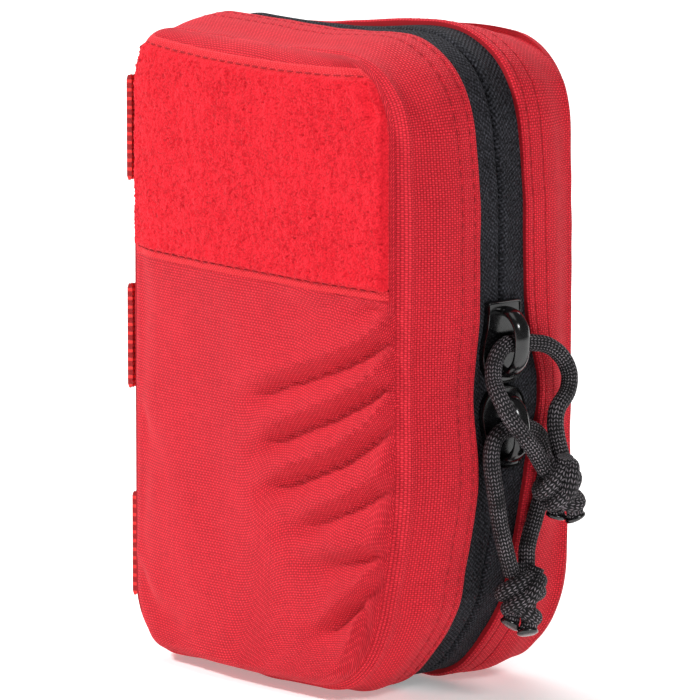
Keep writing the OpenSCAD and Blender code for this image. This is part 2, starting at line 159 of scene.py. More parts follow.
class Build:
    """Collects parts of one piece."""

    def __init__(self):
        self.verts, self.uvs, self.faces, self.mats = [], [], [], []

    def add(self, points, uv, faces, material=0):
        base = sum(len(v) for v in self.verts)
        self.verts.append(np.asarray(points, float).reshape(-1, 3))
        self.uvs.append(np.asarray(uv, float).reshape(-1, 2))
        self.faces += [tuple(base + i for i in f) for f in faces]
        self.mats += [material] * len(faces)

    def slab(self, outer, inner, uv):
        """A closed sheet between two grids of the same shape."""
        n, m = outer.shape[:2]
        size = n * m
        faces = grid_faces(n, m) + grid_faces(n, m, size, flip=True)
        edges = ([i * m for i in range(n)], [i * m + m - 1 for i in range(n)],
                 list(range(m)), [(n - 1) * m + j for j in range(m)])
        for edge in edges:
            faces += [(a, b, b + size, a + size) for a, b in zip(edge[:-1], edge[1:])]
        self.add(np.concatenate([outer.reshape(-1, 3), inner.reshape(-1, 3)]),
                 np.concatenate([uv.reshape(-1, 2)] * 2), faces)

    def tube(self, path, radius, sides=8, material=0, squeeze=1.0, up=(0, 0, 1), relief=None):
        """A round or flattened tube along a path; radius is a number or one for each point."""
        path = np.asarray(path, float)
        n = len(path)
        radius = np.broadcast_to(np.asarray(radius, float), (n,)).copy()
        tangent = np.gradient(path, axis=0)
        tangent /= np.linalg.norm(tangent, axis=1)[:, None]
        along = running(*path.T)
        side = np.cross(tangent[0], up)
        if np.linalg.norm(side) < 1e-3:
            side = np.cross(tangent[0], (1, 0, 0))
        side /= np.linalg.norm(side)
        points, uv = [], []
        angle = circle(sides)
        for i in range(n):
            side = side - tangent[i] * (side @ tangent[i])
            side /= np.linalg.norm(side)
            other = np.cross(tangent[i], side)
            r = radius[i] * np.ones(sides)
            if relief is not None:
                r = r + relief(along[i], angle)
            points.append(path[i] + (r * np.cos(angle))[:, None] * side
                          + squeeze * (r * np.sin(angle))[:, None] * other)
            uv.append(np.stack([np.full(sides, along[i]), angle / (TAU) * CORD_D * PI], 1))
        faces = grid_faces(n, sides, wrap=True) + end_faces(n, sides)
        self.add(np.concatenate(points), np.concatenate(uv), faces, material)

    def piece(self, name, materials, slot, body, nodes=(), sharp=40):
        """The parts as one piece; with no body its transform is baked into the mesh and it stays unparented.
        """
        mesh = bpy.data.meshes.new(name)
        faces = [tuple(int(i) for i in face) for face in self.faces]
        mesh.from_pydata([tuple(v) for v in to_row(np.concatenate(self.verts))], [], faces)
        layer = mesh.uv_layers.new(name="weave")
        loops = np.zeros(len(mesh.loops), np.int64)
        mesh.loops.foreach_get("vertex_index", loops)
        layer.data.foreach_set("uv", np.concatenate(self.uvs).astype(np.float32)[loops].ravel())
        for material in materials.split():
            mesh.materials.append(M[material])
        mesh.polygons.foreach_set("material_index", np.asarray(self.mats, np.int32))
        b = bmesh.new()
        b.from_mesh(mesh)
        bmesh.ops.recalc_face_normals(b, faces=b.faces)
        b.to_mesh(mesh)
        b.free()
        mesh.shade_smooth()
        mesh.set_sharp_from_angle(angle=math.radians(sharp))
        obj = bpy.data.objects.new(name, mesh)
        bpy.context.scene.collection.objects.link(obj)
        if nodes:
            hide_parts(*nodes)
        if body:
            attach(obj, body)
        else:
            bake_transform(obj)
        return obj


def curve_through(points, step):
    """Evenly spaced points of a smooth curve through the given ones."""
    p = np.asarray(points, float)
    q = np.concatenate([[2 * p[0] - p[1]], p, [2 * p[-1] - p[-2]]])
    t = np.linspace(0, 1, 24, endpoint=False)[:, None]
    fine = [0.5 * ((2 * q[i]) + (q[i + 1] - q[i - 1]) * t
                   + (2 * q[i - 1] - 5 * q[i] + 4 * q[i + 1] - q[i + 2]) * t ** 2
                   + (-q[i - 1] + 3 * q[i] - 3 * q[i + 1] + q[i + 2]) * t ** 3)
            for i in range(1, len(q) - 2)]
    fine = np.concatenate(fine + [p[-1:]])
    along = running(*fine.T)
    want = np.linspace(0, along[-1], max(2, int(round(along[-1] / step)) + 1))
    return np.stack([np.interp(want, along, fine[:, k]) for k in range(3)], 1)


def waves(a, b, size, seed):
    """Smooth irregular values from about -1 to 1, with features about size across."""
    rng = np.random.RandomState(seed)
    total = np.zeros(np.broadcast(a, b).shape)
    for _ in range(9):
        turn, phase = rng.uniform(0, TAU, 2)
        k = TAU / (size * rng.uniform(0.8, 1.8))
        total = total + np.sin(k * (a * math.cos(turn) + b * math.sin(turn)) + phase)
    return total / 4.5


# ---------------------------------------------------------------- node helpers
def srgb(r, g, b):
    """Linear colour from 8-bit sRGB values."""
    return tuple(c / 12.92 if c <= 0.04045 else ((c + 0.055) / 1.055) ** 2.4
                 for c in (r / 255, g / 255, b / 255)) + (1.0,)


class Shade:
    """A short way to write node trees."""

    def __init__(self, name, roughness=0.6, metallic=0.0, specular=0.5, sheen=0.0, sheen_tint=None,
                 coat=0.0):
        self.material = bpy.data.materials.new(name)
        self.material.use_nodes = True
        self.tree = self.material.node_tree
        self.shader = self.tree.nodes["Principled BSDF"]
        self.set("Roughness", roughness)
        self.set("Metallic", metallic)
        self.set("Specular IOR Level", specular)
        self.set("Sheen Weight", sheen)
        self.set("Sheen Roughness", 0.45)
        if sheen_tint:
            self.set("Sheen Tint", sheen_tint)
        self.set("Coat Weight", coat)
        self.set("Coat Roughness", 0.12)

    def set(self, socket, value):
        self.shader.inputs[socket].default_value = value

    def node(self, kind, **values):
        node = self.tree.nodes.new(kind)
        for key, value in values.items():
            setattr(node, key, value)
        return node

    def link(self, source, target):
        if isinstance(source, bpy.types.NodeSocket):
            self.tree.links.new(source, target)
        else:
            target.default_value = source

    def math(self, operation, a, b=0.0, c=0.0, clamp=False):
        node = self.node("ShaderNodeMath", operation=operation, use_clamp=clamp)
        for socket, value in zip(node.inputs, (a, b, c)):
            self.link(value, socket)
        return node.outputs[0]

    mul = partialmethod(math, "MULTIPLY")
    add = partialmethod(math, "ADD")
    sub = partialmethod(math, "SUBTRACT")
    mad = partialmethod(math, "MULTIPLY_ADD")
    sin = partialmethod(math, "SINE")
    size = partialmethod(math, "ABSOLUTE")
    pow = partialmethod(math, "POWER")
    max = partialmethod(math, "MAXIMUM")
    min = partialmethod(math, "MINIMUM")
    fract = partialmethod(math, "FRACT")

    def uv(self):
        """U and V of the piece's own map, in mm."""
        node = self.node("ShaderNodeUVMap", uv_map="weave")
        split = self.node("ShaderNodeSeparateXYZ")
        self.link(node.outputs["UV"], split.inputs[0])
        return split.outputs["X"], split.outputs["Y"]

    def position(self):
        """Position in mm."""
        node = self.node("ShaderNodeTexCoord")
        scale = self.node("ShaderNodeVectorMath", operation="SCALE")
        self.link(node.outputs["Object"], scale.inputs[0])
        scale.inputs["Scale"].default_value = 1 / MM
        return scale.outputs[0]

    def combine(self, x, y, z=0.0):
        node = self.node("ShaderNodeCombineXYZ")
        for socket, value in zip(node.inputs, (x, y, z)):
            self.link(value, socket)
        return node.outputs[0]

    def noise(self, vector, size, detail=2.0, roughness=0.5):
        node = self.node("ShaderNodeTexNoise")
        self.link(vector, node.inputs["Vector"])
        node.inputs["Scale"].default_value = 1 / size
        node.inputs["Detail"].default_value = detail
        node.inputs["Roughness"].default_value = roughness
        return node.outputs["Fac"]

    def cells(self, vector, size, feature="F1"):
        node = self.node("ShaderNodeTexVoronoi", feature=feature)
        self.link(vector, node.inputs["Vector"])
        node.inputs["Scale"].default_value = 1 / size
        return node.outputs["Distance"]

    def spread(self, value, low, high, to_low=0.0, to_high=1.0):
        node = self.node("ShaderNodeMapRange")
        self.link(value, node.inputs["Value"])
        for key, number in (("From Min", low), ("From Max", high), ("To Min", to_low), ("To Max", to_high)):
            node.inputs[key].default_value = number
        return node.outputs["Result"]

    def mix(self, factor, a, b):
        node = self.node("ShaderNodeMix", data_type="RGBA")
        self.link(factor, node.inputs["Factor"])
        self.link(a, [s for s in node.inputs if s.name == "A" and s.type == "RGBA"][0])
        self.link(b, [s for s in node.inputs if s.name == "B" and s.type == "RGBA"][0])
        return [s for s in node.outputs if s.type == "RGBA"][0]

    def colour(self, value):
        self.link(value, self.shader.inputs["Base Color"])

    def rough(self, value):
        self.link(value, self.shader.inputs["Roughness"])

    def bump(self, height, depth):
        node = self.node("ShaderNodeBump")
        node.inputs["Strength"].default_value = 1.0
        node.inputs["Distance"].default_value = depth * MM
        self.link(height, node.inputs["Height"])
        self.link(node.outputs["Normal"], self.shader.inputs["Normal"])

    def weave(self, warp, weft):
        """Plain weave: from -1 where the weft is on top to 1 where the warp is."""
        u, v = self.uv()
        a = self.sin(self.mul(u, PI / warp))
        b = self.sin(self.mul(v, PI / weft))
        return self.mul(a, b)


def plain_weave(name, dark, light, warp, weft, depth=0.22, roughness=0.7, sheen=0.2, tint=None,
                weft_tone=0.3):
    """Woven cloth: threads that cross over and under, uneven yarn, and slow changes of tone."""
    s = Shade(name, roughness=roughness, sheen=sheen, sheen_tint=tint, specular=0.3)
    over = s.weave(warp, weft)
    u, v = s.uv()
    slub = s.noise(s.combine(s.mul(u, 0.16), v), 0.9, 1.0)
    slub2 = s.noise(s.combine(u, s.mul(v, 0.16)), 0.8, 1.0)
    warp_up = s.pow(s.max(over, 0.0), 0.6)
    weft_up = s.pow(s.max(s.mul(over, -1.0), 0.0), 0.8)
    lit = s.mad(weft_up, weft_tone, warp_up)
    uneven = s.mad(s.add(slub, slub2), 0.5, 0.5)
    fibre = s.noise(s.position(), 0.22, 2.0)
    lit = s.mul(lit, uneven)
    lit = s.mul(lit, s.mad(fibre, 0.6, 0.7))
    slow = s.noise(s.position(), 22.0, 3.0)
    lit = s.add(lit, s.mul(s.sub(slow, 0.5), 0.22), clamp=True)
    s.colour(s.mix(lit, dark, light))
    s.rough(s.spread(warp_up, 0, 1, min(1.0, roughness + 0.15), roughness - 0.05))
    height = s.mad(weft_up, 0.6, warp_up)
    s.bump(s.mad(fibre, 0.3, height), depth)
    return s.material


# ---------------------------------------------------------------- materials
RED_TINT = (1.0, 0.22, 0.26, 1.0)


def make_loop_pile():
    """Fuzzy loop fabric: tangled fine fibres with darker gaps."""
    s = Shade("loop_pile", roughness=0.9, sheen=0.25, sheen_tint=(1.0, 0.25, 0.28, 1.0), specular=0.15)
    p = s.position()
    tangle = s.noise(p, 0.75, 5.0, 0.65)
    curl = s.cells(p, 0.55)
    clump = s.noise(p, 3.2, 3.0, 0.6)
    slow = s.noise(p, 14.0, 2.0)
    height = s.add(s.mul(tangle, 0.8), s.mul(s.sub(1.0, curl), 0.45))
    lit = s.spread(s.add(height, s.mul(clump, 0.55)), 0.52, 1.25)
    lit = s.add(lit, s.mul(s.sub(slow, 0.5), 0.3), clamp=True)
    s.colour(s.mix(lit, srgb(190, 6, 22), srgb(255, 42, 58)))
    s.bump(height, 0.55)
    return s.material


def make_twill_tape():
    """Charcoal zip tape: fine diagonal twill with grey speckles."""
    s = Shade("zip_tape", roughness=0.85, sheen=0.0, specular=0.15)
    u, v = s.uv()
    rib = s.sin(s.mul(s.add(u, s.mul(v, 0.8)), TAU / 1.0))
    rib = s.mad(rib, 0.5, 0.5)
    cross = s.sin(s.mul(s.sub(v, s.mul(u, 0.5)), TAU / 0.8))
    cross = s.mad(cross, 0.5, 0.5)
    p = s.position()
    speck = s.noise(p, 0.5, 3.0, 0.65)
    slow = s.noise(p, 9.0, 2.0)
    lit = s.mul(s.mad(rib, 0.6, 0.4), s.mad(cross, 0.5, 0.5))
    lit = s.mul(lit, s.spread(speck, 0.34, 0.74, 0.0, 1.1))
    lit = s.mad(s.sub(slow, 0.5), 0.2, lit, clamp=True)
    s.colour(s.mix(lit, srgb(5, 5, 7), srgb(86, 86, 94)))
    s.bump(s.add(s.mul(rib, 0.6), s.mul(cross, 0.5)), 0.3)
    return s.material


def make_webbing(name, dark, light, tint):
    """Webbing: ribs across the tape and fine warp columns along it."""
    s = Shade(name, roughness=0.62, sheen=0.3, sheen_tint=tint, specular=0.35)
    u, v = s.uv()
    column = s.size(s.sin(s.mul(v, PI / 1.05)))
    side = s.math("GREATER_THAN", s.sin(s.mul(v, PI / 1.05)), 0.0)
    shifted = s.add(u, s.mul(side, 0.62))
    rib = s.size(s.sin(s.mul(shifted, PI / 1.24)))
    height = s.mul(s.pow(column, 0.6), s.pow(rib, 0.7))
    fibre = s.noise(s.position(), 0.25, 2.0)
    lit = s.mul(height, s.mad(fibre, 0.7, 0.65), clamp=True)
    s.colour(s.mix(lit, dark, light))
    s.bump(s.mad(fibre, 0.2, height), 0.3)
    return s.material


def make_braid():
    """Black cord whose light tracer yarns form columns of small Vs."""
    s = Shade("braided_cord", roughness=0.65, sheen=0.0, specular=0.25)
    u, v = s.uv()
    column = s.fract(s.mul(v, 9 / (PI * CORD_D)))
    arm = s.size(s.mad(column, 2.0, -1.0))
    stripe = s.fract(s.sub(s.math("DIVIDE", u, 0.9), s.mul(arm, 0.75)))
    pulse = s.sin(s.mul(stripe, PI))
    body = s.sin(s.mul(arm, PI))
    height = s.mul(s.pow(pulse, 0.7), s.pow(s.max(body, 0.0), 0.5))
    fibre = s.noise(s.position(), 0.2, 2.0)
    patchy = s.noise(s.position(), 3.5, 2.0)
    tracer = s.spread(s.mul(height, s.mad(patchy, 0.6, 0.7)), 0.66, 1.0)
    tracer = s.mul(tracer, s.spread(fibre, 0.3, 0.65, 0.35, 1.0), clamp=True)
    s.colour(s.mix(tracer, srgb(5, 5, 7), srgb(150, 142, 148)))
    s.bump(s.mad(fibre, 0.2, height), 0.22)
    return s.material


def make_gloss(name, colour, metallic, roughness, coat):
    """Lacquered metal or glossy plastic with faint scuffs."""
    s = Shade(name, roughness=roughness, metallic=metallic, coat=coat, specular=0.45)
    p = s.position()
    scuff = s.noise(p, 0.8, 4.0, 0.7)
    slow = s.noise(p, 5.0, 2.0)
    paler = tuple(min(1, c * 1.6 + 0.004) for c in colour[:3]) + (1,)
    s.colour(s.mix(s.spread(slow, 0.3, 0.7), colour, paler))
    s.rough(s.spread(scuff, 0.35, 0.75, roughness * 0.8, roughness * 1.7))
    s.bump(scuff, 0.01)
    return s.material


def make_knit(name, dark, light, rib, depth=0.25):
    """Elastic or crepe cloth: ribs along the band with short stitches."""
    s = Shade(name, roughness=0.8, sheen=0.2, specular=0.25)
    u, v = s.uv()
    line = s.size(s.sin(s.mul(v, PI / rib)))
    stitch = s.size(s.sin(s.mul(s.add(u, s.mul(line, 0.3)), PI / (rib * 0.8))))
    height = s.mul(s.pow(line, 0.6), s.mad(stitch, 0.6, 0.4))
    fibre = s.noise(s.position(), 0.3, 2.0)
    lit = s.mul(height, s.mad(fibre, 0.6, 0.7), clamp=True)
    s.colour(s.mix(lit, dark, light))
    s.bump(height, depth)
    return s.material


def make_printed(name, ground, band, low, high):
    """Paper sachet: a plain colour band across a pale ground, with fibre and fine creases."""
    s = Shade(name, roughness=0.55, specular=0.4)
    _, v = s.uv()
    inside = s.mul(s.math("GREATER_THAN", v, low), s.math("LESS_THAN", v, high))
    p = s.position()
    fibre = s.noise(p, 0.5, 3.0)
    crease = s.cells(p, 9.0, "DISTANCE_TO_EDGE")
    tone = s.mix(s.spread(fibre, 0.3, 0.7, 0, 0.12), ground, tuple(c * 0.7 for c in ground[:3]) + (1,))
    s.colour(s.mix(inside, tone, band))
    s.bump(s.add(s.mul(fibre, 0.2), s.min(crease, 0.08)), 0.35)
    return s.material


def make_foil():
    """Crinkled silver film in a clear bag."""
    s = Shade("silver_film", roughness=0.28, metallic=1.0, coat=0.5)
    p = s.position()
    crease = s.cells(p, 6.5, "DISTANCE_TO_EDGE")
    fine = s.cells(p, 2.6, "DISTANCE_TO_EDGE")
    slow = s.noise(p, 8.0, 3.0)
    s.colour(s.mix(slow, srgb(150, 152, 158), srgb(226, 228, 232)))
    s.bump(s.add(s.min(crease, 0.3), s.mul(s.min(fine, 0.2), 0.6)), 1.2)
    return s.material


def make_foam():
    """Closed-cell foam."""
    s = Shade("foam", roughness=0.9)
    p = s.position()
    pores = s.cells(p, 0.7)
    s.colour(s.mix(pores, srgb(92, 92, 96), srgb(132, 132, 136)))
    s.bump(pores, 0.2)
    return s.material


M = {
    "shell": plain_weave("red_pack_cloth", srgb(154, 5, 21), srgb(253, 45, 63), 0.53, 0.64,
                         tint=RED_TINT, sheen=0.1, weft_tone=0.7),
    "selvage": plain_weave("red_selvage", srgb(196, 18, 30), srgb(244, 54, 66), 0.45, 0.4,
                             depth=0.08, tint=RED_TINT),
    "thread": plain_weave("red_thread", srgb(150, 8, 24), srgb(235, 50, 62), 0.4, 0.4,
                           depth=0.06, tint=RED_TINT),
    "lining": plain_weave("grey_lining", srgb(58, 60, 66), srgb(112, 114, 122), 0.3, 0.3,
                           depth=0.06, roughness=0.5),
    "cotton": plain_weave("white_cotton", srgb(196, 192, 182), srgb(250, 248, 242), 0.45, 0.45,
                           depth=0.14, roughness=0.85),
    "gauze": plain_weave("white_gauze", srgb(176, 172, 160), srgb(252, 250, 244), 0.9, 0.9,
                          depth=0.3, roughness=0.9),
    "binding": make_knit("black_binding", srgb(14, 14, 16), srgb(58, 58, 64), 0.9, 0.12),
    "elastic": make_knit("black_elastic", srgb(12, 12, 14), srgb(62, 62, 68), 1.3, 0.3),
    "bandage": make_knit("crepe_bandage", srgb(186, 160, 128), srgb(240, 222, 194), 1.0, 0.3),
    "plaster_tape": plain_weave("medical_tape", srgb(205, 196, 180), srgb(246, 240, 228), 0.35, 0.35,
                                depth=0.08),
    "pile": make_loop_pile(),
    "tape": make_twill_tape(),
    "webbing": make_webbing("red_webbing", srgb(160, 8, 18), srgb(255, 52, 50), RED_TINT),
    "braid": make_braid(),
    "slider": make_gloss("black_lacquer", srgb(5, 5, 6), 0.0, 0.18, 0.45),
    "melt": make_gloss("melted_tip", srgb(9, 9, 11), 0.0, 0.22, 0.5),
    "coil": make_gloss("black_nylon", srgb(22, 22, 24), 0.0, 0.35, 0.1),
    "stud": make_gloss("dark_stud", srgb(58, 58, 62), 1.0, 0.3, 0.3),
    "stop": make_gloss("black_stop", srgb(40, 40, 44), 1.0, 0.35, 0.2),
    "net": make_knit("black_net", srgb(16, 16, 18), srgb(64, 64, 70), 0.5, 0.08),
    "sachet": make_printed("plaster_sachet", srgb(238, 236, 228), srgb(70, 140, 120), 30, 42),
    "wipe": make_printed("wipe_sachet", srgb(236, 240, 244), srgb(70, 120, 176), 6, 15),
    "foil": make_foil(),
    "foam": make_foam(),
    "core": make_printed("card_core", srgb(176, 150, 116), srgb(176, 150, 116), 0, 0),
    "stiffener": make_printed("white_board", srgb(226, 226, 222), srgb(226, 226, 222), 0, 0),
}


# ---------------------------------------------------------------- pull cords
# The routes of part.scad, from the middle of the bridge to the knot
ROUTES = {
    "upper_cord_front": [
        (57.8, 0, 85.4), (57.8, -1.8, 85.4), (57.8, -4.2, 83.8), (58, -6, 80.8),
        (59.3, -7, 77.1), (61.9, -7.2, 73.5), (63.9, -6, 69.4), (65.1, -3.6, 65.7),
        (65.7, -0.6, 61.8), (66, 2.4, 57.3), (66.2, 3.6, 56.2)],
    "upper_cord_rear": [
        (57.8, 0, 85.4), (57.8, 1.8, 85.4), (58.6, 5.5, 85.1), (59.5, 9.5, 84.1),
        (60.4, 13, 81.2), (61.3, 14.5, 77.2), (62, 13.3, 73.2), (62.7, 9.6, 69.7),
        (63.3, 8.4, 66.2), (64.6, 8.2, 61.8), (66.3, 8.3, 57.6)],
    "lower_cord_front": [
        (57.8, 0, 65.4), (57.8, -1.8, 65.4), (57.8, -3.8, 64.9), (57.7, -5.6, 63.1),
        (57.7, -6.4, 59.6), (57.8, -6, 55.2), (57.9, -5, 49.5), (58, -4, 43.5),
        (58.3, -2.8, 38.5), (58.2, -1.4, 34.3), (57.7, 0.1, 31.4)],
    "lower_cord_rear": [
        (57.8, 0, 65.4), (57.8, 1.8, 65.4), (57.8, 4.6, 65.2), (57.6, 8, 63.4),
        (57, 10.6, 60), (56.4, 11.8, 55.8), (56, 11.5, 51), (55.8, 10.2, 46.2),
        (55.7, 8.4, 41.4), (55.9, 6.6, 37), (56.8, 5.5, 33.6), (57.6, 4.9, 31.2)],
}
KNOTS = {"upper": ((66.6, 6.4, 52.5), (65.7, 8.5, 43.4)), "lower": ((58.2, 2.5, 26), (58.4, 0.4, 19))}


def braid_relief(along, angle):
    """Raised yarns of the braid, in mm."""
    arm = np.abs(((angle / (TAU) * 9) % 1) * 2 - 1)
    stripe = (along / 0.9 - 0.75 * arm) % 1
    return 0.07 * (np.sin(stripe * PI) * np.sin(arm * PI) - 0.5)


def make_knot(which, at, tip):
    """A drawn-up overhand knot in the doubled cord, with its two short ends melted flat."""
    build = Build()
    at, tip = np.array(at, float), np.array(tip, float)
    down = unit(tip - at)
    right = np.array([0.656, 0.755, 0.0])
    right = unit(right - down * (right @ down))
    out = np.cross(down, right)
    r = CORD_D / 2

    def wrap(centre, axis, radius, start, turn, lift=0.0):
        """One wrap of cord round an axis; start is measured from the side that faces out."""
        axis = unit(axis)
        first = unit(out - axis * (out @ axis))
        second = np.cross(axis, first)
        t = np.radians(np.linspace(start, start + turn, 90))
        spread = radius * (1 + 0.05 * np.sin(2 * t))
        path = centre + (spread * np.cos(t))[:, None] * first + (spread * np.sin(t))[:, None] * second
        path = path + (lift * np.linspace(-0.5, 0.5, 90))[:, None] * axis
        build.tube(path, r, sides=36, relief=braid_relief)

    slant = 0.80 * down + 0.60 * right
    wrap(at - slant * 2.5, slant, 3.7, -170, 335, 1.2)
    wrap(at + slant * 1.3, slant, 3.9, -165, 330, 1.2)
    wrap(at + right * 2.4 - down * 0.6, right + 0.35 * down, 3.7, -150, 300, 0.8)
    wrap(at + down * 3.4 + right * 1.6, down - 0.55 * right, 2.6, -150, 320, 0.6)
    for s in (-1, 1):
        top = at - down * 7.2 + right * s * 2.3
        path = curve_through([top, at - down * 4.4 + right * s * 1.7, at + right * s * 1.2, at + down * 3],
                             0.3)
        build.tube(path, r * 0.98, sides=36, relief=braid_relief)
    for s in (-1, 1):
        end = at + down * (7.4 + 0.5 * s) + right * (1.0 + 2.1 * s) + out * 0.5
        path = curve_through([at + down * 1.5 + right * s * 1.5, end - down * 2.4, end], 0.3)
        build.tube(path, r * 0.98, sides=36, relief=braid_relief)
        lean = unit(down + 0.35 * right * s + 0.2 * out)
        bead = [end + lean * t for t in (-0.5, -0.2, 0.1, 0.55, 0.85, 0.95)]
        build.tube(bead, [1.95, 2.35, 2.5, 2.45, 1.9, 1.0], sides=36, material=1)
    return build.piece(f"{which}_pull_knot", "braid melt", "cord", f"{which}_zip_pull", [f"{which}_knot"],
                       sharp=60)


for end in ("upper", "lower"):
    knot = make_knot(end, *KNOTS[end])
    for strand in ("front", "rear"):
        node = f"{end}_cord_{strand}"
        path = curve_through(ROUTES[node], 0.25)
        build = Build()
        build.tube(path, CORD_D / 2 - 0.02, sides=40, relief=braid_relief)
        piece = build.piece(f"{end}_pull_cord_{strand}", "braid", "cord", f"{end}_zip_pull", [node],
                            sharp=60)


# ---------------------------------------------------------------- the case's outline
def arc(cx, cz, r, start, end, n):
    a = np.radians(np.linspace(start, end, n))
    return np.stack([cx + r * np.cos(a), cz + r * np.sin(a), np.cos(a), np.sin(a)], 1)


def line(x0, z0, x1, z1, nx, nz, step):
    n = max(2, int(round(math.hypot(x1 - x0, z1 - z0) / step)) + 1)
    t = np.linspace(0, 1, n)
    return np.stack([x0 + (x1 - x0) * t, z0 + (z1 - z0) * t, np.full(n, nx), np.full(n, nz)], 1)


def join(parts):
    """Joins stretches of outline and adds the running length."""
    out = [parts[0]] + [p[1:] for p in parts[1:]]
    p = np.concatenate(out)
    return p, running(p[:, 0], p[:, 1])


def zip_path(step=1.2):
    """Seam outline from the spine's top corner round the zip side to the spine's bottom corner."""
    w = HALF_W
    return join([
        arc(-w + SPINE_R, TOP_Z - SPINE_R, SPINE_R, 150, 90, 14),
        line(-w + SPINE_R, TOP_Z, w - TOP_R, TOP_Z, 0, 1, step),
        arc(w - TOP_R, TOP_Z - TOP_R, TOP_R, 90, 0, 26),
        line(w, TOP_Z - TOP_R, w, SEAM_Z + BOTTOM_R, 1, 0, step),
        arc(w - BOTTOM_R, SEAM_Z + BOTTOM_R, BOTTOM_R, 0, -90, 38),
        line(w - BOTTOM_R, SEAM_Z, -w + SPINE_R, SEAM_Z, 0, -1, step),
        arc(-w + SPINE_R, SEAM_Z + SPINE_R, SPINE_R, 270, 210, 14)])


def spine_path(step=1.2):
    """Seam outline along the spine, from its bottom corner up to its top corner."""
    w = HALF_W
    return join([
        arc(-w + SPINE_R, SEAM_Z + SPINE_R, SPINE_R, 210, 180, 8),
        line(-w, SEAM_Z + SPINE_R, -w, TOP_Z - SPINE_R, -1, 0, step),
        arc(-w + SPINE_R, TOP_Z - SPINE_R, SPINE_R, 180, 150, 8)])


def place(path, out, y):
    """Points at outward distances and depths from a stretch of outline; out and y may be grids."""
    out, y = np.broadcast_arrays(out, y)
    x = path[:, 0][:, None] + path[:, 2][:, None] * out
    z = path[:, 1][:, None] + path[:, 3][:, None] * out
    return np.stack([x, np.broadcast_to(y, x.shape), z], -1)


def sample(path, s, at):
    """Points of an outline at running lengths."""
    return np.stack([np.interp(at, s, path[:, i]) for i in range(4)], 1)


def beside(path, out, y):
    """A line of points, one at a distance and depth from each point of an outline."""
    return np.stack([path[:, 0] + path[:, 2] * out, y + 0 * path[:, 0], path[:, 1] + path[:, 3] * out], 1)


# How far the filled case swells (or draws in) from its seam outline, by height up the zip side:
# along the zip, and along the panels' seams. The two runs beside it fade out along X.
ZIP_SWELL = ((2.5, -0.2), (4, -0.6), (5.5, -1.4), (7.5, -2.2), (12.5, -2.9), (18.5, -2.3), (24, -1.2),
             (30, -0.4), (36, 1.4), (43, 3.2), (52, 4.7), (60, 5.1), (118, 5.1), (128, 4.0), (137, 2.7),
             (146, 2.2), (151.5, 1.2))
SEAM_SWELL = ((2.5, -0.3), (7, -1.2), (12, -2.6), (18, -3.8), (27, -4.1), (33, -2.9), (39, -1.6), (48, -0.3),
              (56, 0), (151.5, 0))


def soft_table(table, at):
    """Value of a table of pairs at a height, smoothed."""
    keys, values = np.array(table).T
    fine = np.linspace(-20, 180, 801)
    raw = np.interp(fine, keys, values)
    kernel = np.hanning(33)
    soft = np.convolve(np.pad(raw, 16, mode="edge"), kernel / kernel.sum(), mode="valid")
    return np.interp(at, fine, soft)


def settle(points, inwards=False):
    """The slow shape of the filled case: the zip side swells and its lower corner is rounder.

    With inwards only the rounder corner is followed, which keeps the contents inside it.
    """
    p = np.array(points, float)
    x, y, z = p[..., 0], p[..., 1], p[..., 2]
    low_x, high_x = HALF_W - BOTTOM_R, HALF_W - TOP_R
    low_z, high_z = SEAM_Z + BOTTOM_R, TOP_Z - TOP_R
    dx = np.where(z < low_z, np.maximum(x - low_x, 0), np.where(z > high_z, np.maximum(x - high_x, 0), 1))
    dz = np.where(z < low_z, z - low_z, np.where(z > high_z, z - high_z, 0))
    size = np.hypot(dx, dz) + 1e-9
    dx, dz = dx / size, dz / size
    height = np.where(z < low_z, low_z + BOTTOM_R * dz, np.where(z > high_z, high_z + TOP_R * dz, z))
    fade = np.where(z < 76, smooth01((x - 2) / (low_x - 2)), smooth01((x - 5) / (high_x - 5)))
    inset = np.maximum(inside_distance(x, z), 0)
    weight = fade * (1 - smooth01(inset / 22))
    share = np.clip(1 - (np.clip(np.abs(y) - 12, 0, 15) / 15) ** 2, 0, 1)
    seam = soft_table(SEAM_SWELL, height) * (1 - 0.85 * smooth01(y / 20))
    move = (seam + (soft_table(ZIP_SWELL, height) - seam) * share) * weight
    if inwards:
        move = np.minimum(seam, 0) * 1.25 * weight
    sink = 3.2 * smooth01((y - 1) / 8) * smooth01((z - 130) / 19) * smooth01((12 - x) / 50)
    rise = 1.5 * smooth01((y + 9) / 12) * smooth01((z - 130) / 20) * np.exp(-((x - 20) / 18) ** 2)
    p[..., 0] = x + dx * move
    p[..., 2] = z + dz * move + rise - sink
    return p


def inside_distance(x, z, inset=0.0):
    """Distance inwards from the seam outline."""
    cx, cz = 0.0, (SEAM_Z + TOP_Z) / 2
    hw, hh = HALF_W - inset, (TOP_Z - SEAM_Z) / 2 - inset
    r = np.where(x > 0, np.where(z > cz, TOP_R, BOTTOM_R), SPINE_R) - inset
    qx, qz = np.abs(x - cx) - hw + r, np.abs(z - cz) - hh + r
    outside = np.hypot(np.maximum(qx, 0), np.maximum(qz, 0))
    return -(outside + np.minimum(np.maximum(qx, qz), 0) - r)


def row_span(z, inset=0.0):
    """Left and right end of the seam outline at height z."""
    low, high, w = SEAM_Z + inset, TOP_Z - inset, HALF_W - inset

    def edge(r, dz):
        within = dz < r
        r = r - inset
        d = np.clip(r - dz, 0, r)
        return np.where(within, r - np.sqrt(np.maximum(r * r - d * d, 0)), 0)

    up, down = high - z, z - low
    right = w - edge(TOP_R, up) - edge(BOTTOM_R, down)
    left = -w + edge(SPINE_R, up) + edge(SPINE_R, down)
    return left, right


